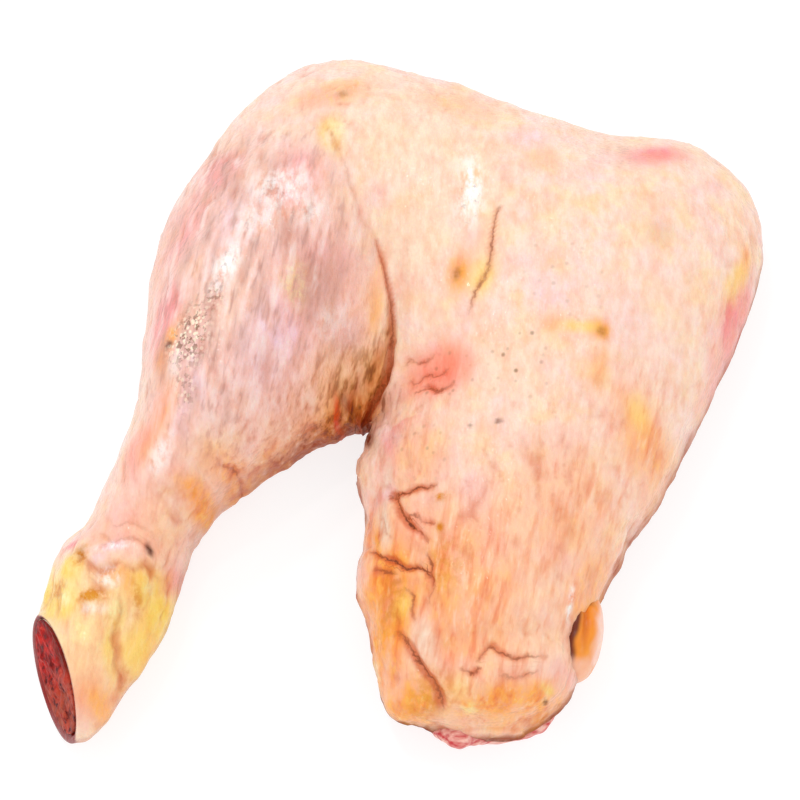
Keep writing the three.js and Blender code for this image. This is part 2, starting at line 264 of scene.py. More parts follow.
def skin_rings(places, angles):
    """Points in rows by place and columns by angle. Across the slice a point is at (1 - cos^p) / 2 of the
    rib, and it stands sin^p of the way from the rim to the crown or the table, where p is 2 over the
    squareness."""
    rib = along(RIBS, places)[:, None, :]
    inner_x, inner_y, outer_x, outer_y, inner_rim, outer_rim, swell, lean = np.moveaxis(rib, -1, 0)
    cosine, sine = np.cos(angles)[None, :], np.sin(angles)[None, :]
    long_share = (np.hypot(outer_x - inner_x, outer_y - inner_y) - SLICE_LENGTH[0]) / np.ptp(SLICE_LENGTH)
    foot = mix(FOOT_SQUARENESS[0], FOOT_SQUARENESS[1], np.clip(long_share, 0, 1))
    power = np.where(sine >= 0, 2 / TOP_SQUARENESS, 2 / foot)
    share = (1 - np.sign(cosine) * np.abs(cosine) ** power) / 2
    rise = np.abs(sine) ** power * swell
    x, y = mix(inner_x, outer_x, share), mix(inner_y, outer_y, share)
    rim = mix(inner_rim, outer_rim, share)
    above = rim + (np.maximum(crown_height(x, y), rim + LEAST_RISE) - rim) * rise
    below = rim - (rim + FOOT_PRESS) * rise
    z = np.where(sine >= 0, above, below)
    out = (rim - z) * lean
    return np.stack([x + CUT_FACING[0] * out, y + CUT_FACING[1] * out, np.maximum(z, 0)], axis=-1)


SLICES = 440
TOP_POINTS = 146
FOOT_POINTS = 54
top_angles = np.linspace(0, np.pi, TOP_POINTS, endpoint=False)
foot_angles = np.pi + np.pi * (1 - np.cos(np.linspace(0, np.pi, FOOT_POINTS, endpoint=False))) / 2
ANGLES = np.concatenate([top_angles, foot_angles])
skin = skin_rings(even_places(SLICES), ANGLES)
print("skin points:", skin.shape, "height of the leg in mm:", skin[..., 2].max().round(1))

# %% [markdown]
# ## The shin bone and its channel
#
# The shin bone runs from the cut at the hock up to the knee. It is wide at the hock, thin in the shaft and
# wide again at the knee. Its rings start in the leaning plane of the cut and turn until they stand square
# to the bone. The flesh has a real channel for it, made from the same rings grown by a small gap, so the
# skin is one closed surface like a sock whose toe is pushed in.

# %% Rings round the bone
# x, y, z, half width, half height
BONE_ROWS = [
    [-67.8, -57.4, 10.2, 11.6, 8.4],
    [-62, -47, 10.6, 6.4, 6.2],
    [-52, -27, 10.6, 4.2, 4.2],
    [-38, -5, 15, 4.4, 4.4],
    [-27, 17, 18, 5.4, 5.0],
    [-19, 38, 18, 8.0, 7.0],
]
BONE_GAP = 0.3  # between the bone and its channel
BONE_CROWDING = 1.4  # above 1, the rings stand closer together at the hock
BONE_CLOSING = 0.25  # the rings close over this share of the last row
BONE_STEP = 0.01  # the bone's direction is taken between places this far to both sides


def unit(vectors):
    """Each vector divided by its length."""
    return vectors / np.linalg.norm(vectors, axis=-1, keepdims=True)


up_the_cut = unit(np.array([-CUT_FACING[0] * CUT_LEAN, -CUT_FACING[1] * CUT_LEAN, 1]))


def bone_rings(places, angles, gap):
    """Ellipses round the bone's path. Each faces a mix of the cut's direction and the bone's own, by its
    place."""
    last = len(BONE_ROWS) - 1
    row = along(BONE_ROWS, places)
    ahead = along(BONE_ROWS, np.minimum(places + BONE_STEP, last))[:, :3]
    behind = along(BONE_ROWS, np.maximum(places - BONE_STEP, 0))[:, :3]
    turned_by = np.minimum(places, 1)[:, None]
    facing = unit(mix(-CUT_FACING, unit(ahead - behind), turned_by))
    upward = mix(up_the_cut, np.array([0, 0, 1.0]), turned_by)
    side = unit(np.cross(facing, upward))
    closing = np.sqrt(np.clip(1 - np.clip((places - last) / BONE_CLOSING + 1, 0, 0.98) ** 2, 0, 1))
    width = np.cos(angles)[None, :, None] * ((row[:, 3] * closing + gap)[:, None, None])
    height = np.sin(angles)[None, :, None] * ((row[:, 4] * closing + gap)[:, None, None])
    return row[:, None, :3] + side[:, None, :] * width + upward[:, None, :] * height


CHANNEL_RINGS = 22
bone_places = (len(BONE_ROWS) - 1) * np.linspace(0, 1, CHANNEL_RINGS) ** BONE_CROWDING
channel = bone_rings(bone_places, ANGLES, BONE_GAP)[::-1]
print("channel length in mm:", np.linalg.norm(np.diff(channel.mean(axis=1), axis=0), axis=1).sum().round(1))

# %% [markdown]
# ## The skin's edge at the cut, and the thigh's closed end
#
# At the hock the skin ends in a soft rolled lip round the bone. At the other end the skin closes over the
# thigh. Both are a few more rings: the lip swells outwards between two rings, and the end shrinks to its
# middle along a quarter of a circle.

# %% The lip, the end, and the whole grid of rings
LIP_SWELL = 0.7  # mm
LIP_RINGS = 6
END_BULGE = 1.2  # mm
END_RINGS = 9

lip_share = np.linspace(0, 1, LIP_RINGS + 2)[1:-1][:, None, None]
lip = mix(channel[-1], skin[0], lip_share) + CUT_FACING * LIP_SWELL * np.sin(np.pi * lip_share) ** 0.7

end_inner, end_outer = RIBS[-1, 0:2], RIBS[-1, 2:4]
end_facing = unit(np.array([end_outer[1] - end_inner[1], end_inner[0] - end_outer[0], 0]))
end_turn = np.linspace(0, np.pi / 2, END_RINGS + 2)[1:-1][:, None, None]
end_middle = skin[-1].mean(axis=0)
end = end_middle + (skin[-1] - end_middle) * np.cos(end_turn) + end_facing * END_BULGE * np.sin(end_turn)

rings = np.concatenate([channel, lip, skin, end])
ON_SKIN = slice(len(channel), len(rings))
print("rings:", rings.shape, "quads:", (len(rings) - 1) * rings.shape[1])


# %% [markdown]
# ## Noise with a real size
#
# Skin is uneven at every size: soft lumps of fat under it, wrinkles, and pores. A lattice of random numbers
# that is blended smoothly between its points gives lumps of one size, chosen in millimetres. The numbers
# come from a seed, so that the leg comes out the same each time. Stretching the lattice turns lumps into
# streaks.


# %% Smooth lattice noise
LATTICE = 32  # the noise repeats after this many cells
SHIFT = 100  # moves every place of the leg above 0


def lumps(points, size, seed):
    """Noise from -1 to 1. Each point takes the 8 random numbers at the corners of its lattice cell, blended
    by the smooth step of its place in the cell. Size is the cell's, one number or three."""
    table = np.random.default_rng(seed).uniform(-1, 1, (LATTICE, LATTICE, LATTICE))
    place = points / np.asarray(size, float) + SHIFT
    cell = np.floor(place).astype(int)
    f = place - cell
    f = f * f * (3 - 2 * f)
    total = 0
    for corner in np.ndindex(2, 2, 2):
        weight = np.prod(np.where(np.array(corner) == 1, f, 1 - f), axis=-1)
        i, j, k = np.moveaxis((cell + corner) % LATTICE, -1, 0)
        total = total + weight * table[i, j, k]
    return total


def pimples(points, spacing, radius, seed):
    """1 at the middle of small bumps and 0 past their radius. One bump sits at a random spot of each
    lattice cell, and its profile is (1 - (distance / radius)^2)^2."""
    table = np.random.default_rng(seed).uniform(0.15, 0.85, (LATTICE, LATTICE, LATTICE, 3))
    place = points / spacing + SHIFT
    cell = np.floor(place).astype(int)
    nearest = np.full(points.shape[:-1], np.inf)
    for shift in np.ndindex(3, 3, 3):
        other = cell + np.array(shift) - 1
        i, j, k = np.moveaxis(other % LATTICE, -1, 0)
        nearest = np.minimum(nearest, np.linalg.norm(place - other - table[i, j, k], axis=-1))
    return np.clip(1 - (nearest * spacing / radius) ** 2, 0, 1) ** 2


WARP = 1.6  # edges of folds and colours wander by this many mm
warped = rings + WARP * np.stack([lumps(rings, 9, seed) for seed in (1, 2, 3)], axis=-1)
print("warp in mm:", np.abs(warped - rings).max().round(2))

# %% [markdown]
# ## Creases
#
# Skin that is bent or bunched folds into narrow creases, with a soft roll on both sides. Each crease is a
# path that was read off a real leg, in millimetres, with a depth and a half width. The path is refined by
# the smooth curve. A crease's depth fades at both ends of its path, as a real one runs out. Its painted
# shadow line is much finer than the mesh, so each point also keeps its distance from the nearest path, with
# a sign for the side. The material paints that shadow line where the distance is zero, which lies between
# the points and not on them.

# %% The creases that are pressed into the skin
# path, depth at start and end, half width, how dark its painted shadow line is, as one number or at start and
# end
CREASES = dict(
    knee_pit=(
        [(-9.2, -8.6), (-4.9, -0.2), (-1.9, 9.7), (-3.3, 19.7), (-6.6, 25.3), (-10.2, 29.3)],
        (1.5, 0.2), 0.8, (1, -0.1),
    ),
    knee_pit_top=([(-9.6, 27.4), (-11.2, 34), (-12.6, 40), (-13.6, 45), (-15.2, 51)], (0.2, 0.3), 0.9, 0.1),
    thigh_line=([(18.4, 31), (17.9, 28), (16.1, 20.4), (13.9, 14), (12.2, 9.5)], (0.45, 0.35), 0.8, 0.6),
    notch_upper=(
        [(-2.4, -24.6), (-0.9, -23.9), (1.4, -23.9), (3, -23.3), (4.6, -23.5), (6.6, -24.2)],
        (0.8, 0.5), 0.75, 0.9,
    ),
    notch_middle=(
        [(-1.6, -23.6), (-0.6, -25.2), (0.3, -26.8), (0.8, -28.4), (1.8, -30.3), (2.6, -32), (3.8, -33.4),
         (5, -35.4)],
        (0.9, 0.9), 0.75, 1,
    ),
    notch_branch=([(1.2, -28.6), (3.2, -29.2), (4.6, -31), (6.6, -31.4)], (0.4, 0.3), 0.7, 0.6),
    notch_lower=([(4.2, -37), (5.2, -39.4), (4.6, -41.7), (5.2, -44), (4.2, -47.2)], (0.6, 0.4), 0.7, 0.75),
    side_fold=(
        [(-7.6, -35), (-4.6, -36.4), (-2.6, -37.4), (-0.5, -39.4), (2.7, -40.2), (4, -41.6), (5.6, -43)],
        (0.9, 0.8), 0.75, 0.95,
    ),
    side_fold_low=([(-6.4, -38.8), (-3.6, -39.4), (-1.8, -40.9)], (0.5, 0.3), 0.7, 0.55),
    side_fold_end=([(-1.6, -43.4), (0.6, -45.6), (0.2, -48.4), (1.8, -50.8)], (0.3, 0.4), 0.7, 0.5),
    rear_fold_line=(
        [(-2, -51.6), (0.4, -54.7), (2.3, -58.2), (4.4, -60.6), (5.7, -64), (6.9, -66.4)],
        (0.6, 1.3), 0.9, 0.8,
    ),
    cross_line=(
        [(13, -57.8), (14.6, -56.4), (16.5, -55.2), (18.2, -56.6), (20.6, -57.2), (23.4, -56.4),
         (27.3, -55.6)],
        (0.6, 0.4), 0.75, 0.65,
    ),
    cross_line_small=([(9.4, -58), (11.6, -59.4), (13.8, -58.7)], (0.5, 0.5), 0.7, 0.7),
    cross_line_low=([(17.6, -59.6), (21.8, -60.2), (25.4, -59)], (0.3, 0.3), 0.7, 0.35),
    blush_1=([(-0.2, 2.4), (1.6, 3.4), (3.6, 2.4), (5.6, 2.8)], (0.3, 0.3), 0.8, 0.4),
    blush_2=([(0.9, -0.4), (2.6, -1.6), (4.2, -0.6), (6.2, -1.6), (7.6, -0.8)], (0.35, 0.3), 0.8, 0.5),
    blush_3=([(2.2, -4.2), (4.4, -3.6), (6, -4.8), (8.6, -4.4)], (0.35, 0.3), 0.8, 0.6),
    blush_4=([(4.4, -2.6), (5.4, -5.6)], (0.3, 0.3), 0.7, 0.4),
    skin_end=(
        [(-66.2, -34.6), (-64.2, -36.4), (-62.6, -35.8), (-60.4, -38.2), (-58.4, -39.6), (-56.2, -38),
         (-53.6, -38.6), (-51.4, -36.8), (-49.4, -38.4), (-46.4, -38.8)],
        (0.5, 0.3), 0.8, 0.08,
    ),
    heel_line=(
        [(-57.2, -42), (-55.6, -45.7), (-55.9, -49.6), (-54.9, -52.9), (-55.6, -56.2), (-54.9, -59.2),
         (-56.5, -63.6)],
        (0.15, 0.5), 1.1, 0.12,
    ),
    hock_spot=(
        [(-64.6, -34.6), (-62.8, -37.4), (-61.4, -38.6), (-60.2, -41.2), (-57.7, -43.6)],
        (0.3, 0.3), 1, 0.12,
    ),
    shank_wrinkle_1=(
        [(-58.2, -27.4), (-56.4, -29.8), (-54.2, -29.6), (-48.8, -31.6)], (0.25, 0.25), 0.8, 0.15
    ),
    shank_wrinkle_2=([(-60.2, -30.6), (-57.2, -33.2), (-55, -32.6), (-50, -34)], (0.3, 0.25), 0.8, 0.15),
    shank_fold=([(-31.4, -22.6), (-33.2, -19.6), (-36.6, -17.8)], (0.5, 0.2), 0.9, 0.5),
)


def refined(path, pieces=5):
    """The smooth curve through the path's points, with this many pieces between two of them."""
    return along(path, np.linspace(0, len(path) - 1, pieces * (len(path) - 1) + 1))


LINE_REACH = 0.95  # a crease's dark line is drawn within this distance of its path
SHAKE = 0.35  # a crease's path is unsteady by this many mm
FAR = 9.0  # a distance in mm that is far from every crease

x, y = warped[..., 0], warped[..., 1]
shaky = warped + SHAKE * np.stack([lumps(rings, 2.4, seed) for seed in (4, 5, 6)], axis=-1)
crease_relief = np.zeros(x.shape)
line_strength = np.zeros(x.shape)
line_distance = np.full(x.shape, FAR)
for path, depth, half_width, dark in CREASES.values():
    distance, share, side = near_path(shaky[..., 0], shaky[..., 1], refined(path))
    fade = np.sin(np.pi * np.clip(share, 0, 1)) ** 0.5
    valley = np.exp(-((distance / half_width) ** 2))
    rolls = np.exp(-(((distance - 2.2 * half_width) / half_width) ** 2))
    crease_relief += mix(depth[0], depth[1], share) * fade * (0.25 * rolls - valley)
    darkness = np.maximum(mix(*np.broadcast_to(dark, 2), share), 0)
    closer = distance < np.abs(line_distance)
    line_distance = np.where(closer, distance * side, line_distance)
    line_strength = np.where(closer, darkness * fade * np.exp(-((distance / LINE_REACH) ** 4)), line_strength)
print("deepest crease in mm:", crease_relief.min().round(2))

# %% [markdown]
# ## Bunched skin beside the knee's pit
#
# Where the calf turns down into the pit of the knee its skin is bunched into fine folds that run beside the
# crease. They are a wave of the distance from that crease, which dies away within a dozen millimetres. The
# band of folds is widest at the notch between the limbs and narrows on the way up.

# %% Fine folds that follow the crease
PIT = np.array(CREASES["knee_pit"][0] + [(-12.3, 42), (-14.2, 49), (-16, 62)])
pit_x = np.interp(y, PIT[:, 1], PIT[:, 0])
on_calf = smooth_step(-1.5, 1.5, pit_x - x) * smooth_step(-60, -20, y)
distance, share, side = near_path(x, y, refined(PIT))
pit_distance = distance * side  # above 0 on the calf's side
bunched_width = mix(3, 10, smooth_step(14, -3, y))
beside_pit = on_calf * np.exp(-((distance / bunched_width) ** 2)) * smooth_step(26, 4, y)
streak_place = np.stack([distance / 1.2, share * 11, np.zeros_like(share)], axis=-1)
streak_wave = lumps(streak_place, 1.0, 9) + 0.5 * lumps(streak_place * [2.1, 1.7, 1], 1.0, 10)
print("share of the points on bunched skin:", (beside_pit > 0.3).mean().round(3))

# %% [markdown]
# ## Swells of the outline
#
# Fat and tissue bulge under the skin, so the outline of a real leg isn't a clean curve. Each swell is a
# bell with a place, a size and a height in millimetres, and a height below 0 makes a dent.

# %% Swells and dents
# x, y, half width, half length, turn in degrees, height
SWELLS = [
    (-22.5, -16.5, 2.4, 3.2, 50, 0.8), (-30, -23, 2.6, 4, 45, 0.9), (-26, -19.6, 1.8, 1.4, 45, -0.7),
    (-35.2, -27.2, 1.6, 2, 45, -0.8), (-38.6, -29.6, 2, 3, 45, 0.5), (-44, -40.4, 2.5, 4, 15, 0.6),
    (-8.6, -17, 2.4, 4.5, 0, 0.6), (-5.6, -27, 2.6, 3.6, 0, -0.5), (-8.4, -40, 3, 5, 0, 0.7),
    (-7, -33.2, 1.6, 1.4, 0, -0.9), (-2, -64, 3, 3, 30, 0.9), (52, -22, 3, 3, -35, 0.2),
    (47, -31, 3, 4, -35, -0.7), (44, -37, 2.6, 3, -35, 0.5), (64, 2, 3, 5, -30, -0.6),
    (-63, -32, 2.6, 3.4, -30, 1.1), (-66.5, -38, 2, 3, -20, 0.7), (4.6, -55.4, 2.4, 4.6, 24, 0.9),
    (-57.6, -36.6, 3.4, 1.8, 10, 0.7), (-50.4, -34.8, 2.6, 1.6, 0, 0.6), (-61.5, -53, 4.6, 8, -10, 0.6),
    (13, -62, 3.4, 3, 0, 0.5), (24, -62, 4, 2.6, 0, 0.5), (-10, -5, 3, 2, 40, 0.8),
]
swell = np.zeros(x.shape)
for spot_x, spot_y, half_width, half_length, turn, rise in SWELLS:
    across, lengthways = turned(x, y, spot_x, spot_y, turn)
    swell += rise * np.exp(-((across / half_width) ** 2) - (lengthways / half_length) ** 2)
print("swells in mm:", swell.min().round(2), "to", swell.max().round(2))

# %% [markdown]
# ## The whole relief
#
# The skin is smooth over the thigh and the knee, and wrinkled at the rear, the pit and the hock. Follicles
# stand up all over it as small pimples, and the calf has a pebbly patch. At the thigh's cut end the skin
# stops in a lip, with a step in below it where the meat is bare. Each of these is a height in millimetres,
# and their sum moves the points along the normals. Nothing moves on the table or in the bone's channel.

# %% Wrinkles, follicles and the skin's edge, pushed along the normals
# heights, and the sizes that lumps and pimples take, are in mm
smooth_top = np.exp(-(((x - 24) / 40) ** 4) - ((y - 26) / 34) ** 4)
rough = 1 - 0.7 * smooth_top
wrinkled = np.clip(1 - np.abs(lumps(shaky, (2.2, 5.0, 3.0), 18)) * 2, 0, 1) ** 3
pebbly = np.exp(-((np.hypot((x + 38.5) / 4.2, (y - 3.5) / 7.5)) ** 3))
fine_relief = crease_relief + 0.5 * beside_pit * streak_wave
fine_relief = fine_relief + rough * (0.20 * lumps(rings, 2.6, 13) + 0.18 * lumps(rings, (1.5, 6, 2.4), 14))
fine_relief = fine_relief - rough * (0.18 + 0.14 * lumps(rings, 11, 19)) * wrinkled
fine_relief = fine_relief + (0.14 + 0.12 * lumps(rings, 16, 15)) * pimples(rings, 3.4, 0.95, 16)
fine_relief = fine_relief + 0.30 * pebbly * (pimples(rings, 1.9, 0.95, 17) - 0.4)
relief = fine_relief + swell + 0.55 * lumps(rings, 13, 11) + (0.12 + 0.2 * rough) * lumps(rings, 5.5, 12)

EDGE_HEIGHT = 6.4  # the skin's lower edge over the table
at_thigh_end = smooth_step(-57, -62, y) * smooth_step(-20, -8, x)
edge_height = EDGE_HEIGHT + 0.8 * lumps(rings, 4, 22)
skin_edge = np.exp(-(((rings[..., 2] - edge_height - 0.9) / 0.8) ** 2))
below_edge = smooth_step(edge_height + 0.4, edge_height - 0.4, rings[..., 2])
relief = relief + at_thigh_end * (0.35 * skin_edge - 0.9 * below_edge)

off_table = smooth_step(0.2, 2.2, rings[..., 2])
ring_number = np.arange(len(rings))[:, None]
out_of_channel = smooth_step(len(channel) + LIP_RINGS - 1, len(channel) + LIP_RINGS + 5, ring_number)
relief = relief * off_table * out_of_channel

down_the_leg = np.gradient(rings, axis=0)
round_the_leg = np.roll(rings, -1, axis=1) - np.roll(rings, 1, axis=1)
NOT_ZERO = 1e-12  # keeps the normal a number where points lie on each other
normals = unit(np.cross(down_the_leg, round_the_leg) + NOT_ZERO)
outwards = np.sign((normals[ON_SKIN] * (rings[ON_SKIN] - rings[ON_SKIN].mean(axis=1, keepdims=True))).sum())
skin_points = rings + outwards * normals * relief[..., None]
skin_points[..., 2] = np.maximum(skin_points[..., 2], 0)
print("relief in mm:", relief.min().round(2), "to", relief.max().round(2))
print("the rings' own normals point outwards:", outwards > 0)


# %% [markdown]
# ## From rings to a closed mesh
#
# Neighbouring rings are joined by quads, and a point in the middle closes each end, so the mesh has no
# hole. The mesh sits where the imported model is: the CAD part's origin is under the middle of its box, and
# the millimetres above are moved by the same amount.


# %% A mesh from rings
near_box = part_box("leg_quarter")
cad_middle = (np.array(near_box[0]) + np.array(near_box[1])) / 2 / MM
base_middle = (skin.reshape(-1, 3).min(axis=0) + skin.reshape(-1, 3).max(axis=0)) / 2
TO_FRAME = np.array([cad_middle[0] - base_middle[0], cad_middle[1] - base_middle[1], 0])


def closed_mesh(name, points):
    """Quads between neighbouring rings, and a fan from the middle of the first and of the last ring."""
    rows, around = points.shape[:2]
    number = np.arange(rows * around).reshape(rows, around)
    following = np.roll(number, -1, axis=1)
    quads = np.stack([number[:-1], number[1:], following[1:], following[:-1]], axis=-1).reshape(-1, 4)
    first = np.stack([np.full(around, rows * around), number[0], following[0]], axis=-1)
    last = np.stack([np.full(around, rows * around + 1), following[-1], number[-1]], axis=-1)
    middles = np.stack([points[0].mean(axis=0), points[-1].mean(axis=0)])
    vertices = (np.vstack([points.reshape(-1, 3), middles]) + TO_FRAME) * MM
    mesh = bpy.data.meshes.new(name)
    mesh.from_pydata(vertices.tolist(), [], quads.tolist() + first.tolist() + last.tolist())
    mesh.polygons.foreach_set("use_smooth", np.ones(len(mesh.polygons), bool))
    mesh.update()
    piece = bpy.data.objects.new(name, mesh)
    bpy.context.scene.collection.objects.link(piece)
    print(name, "faces:", len(mesh.polygons), "triangles:", 2 * len(quads) + 2 * around)
    return piece


def paint_zone(piece, name, values):
    """Stores one number for each point, for the material to read. The two end points take their ring's
    mean."""
    values = np.concatenate([values.ravel(), [values[0].mean(), values[-1].mean()]])
    layer = piece.data.attributes.new(name, "FLOAT", "POINT")
    layer.data.foreach_set("value", values.astype(np.float32))


leg_skin = closed_mesh("leg_skin", skin_points)
print("moved into the frame by, in mm:", TO_FRAME.round(3))
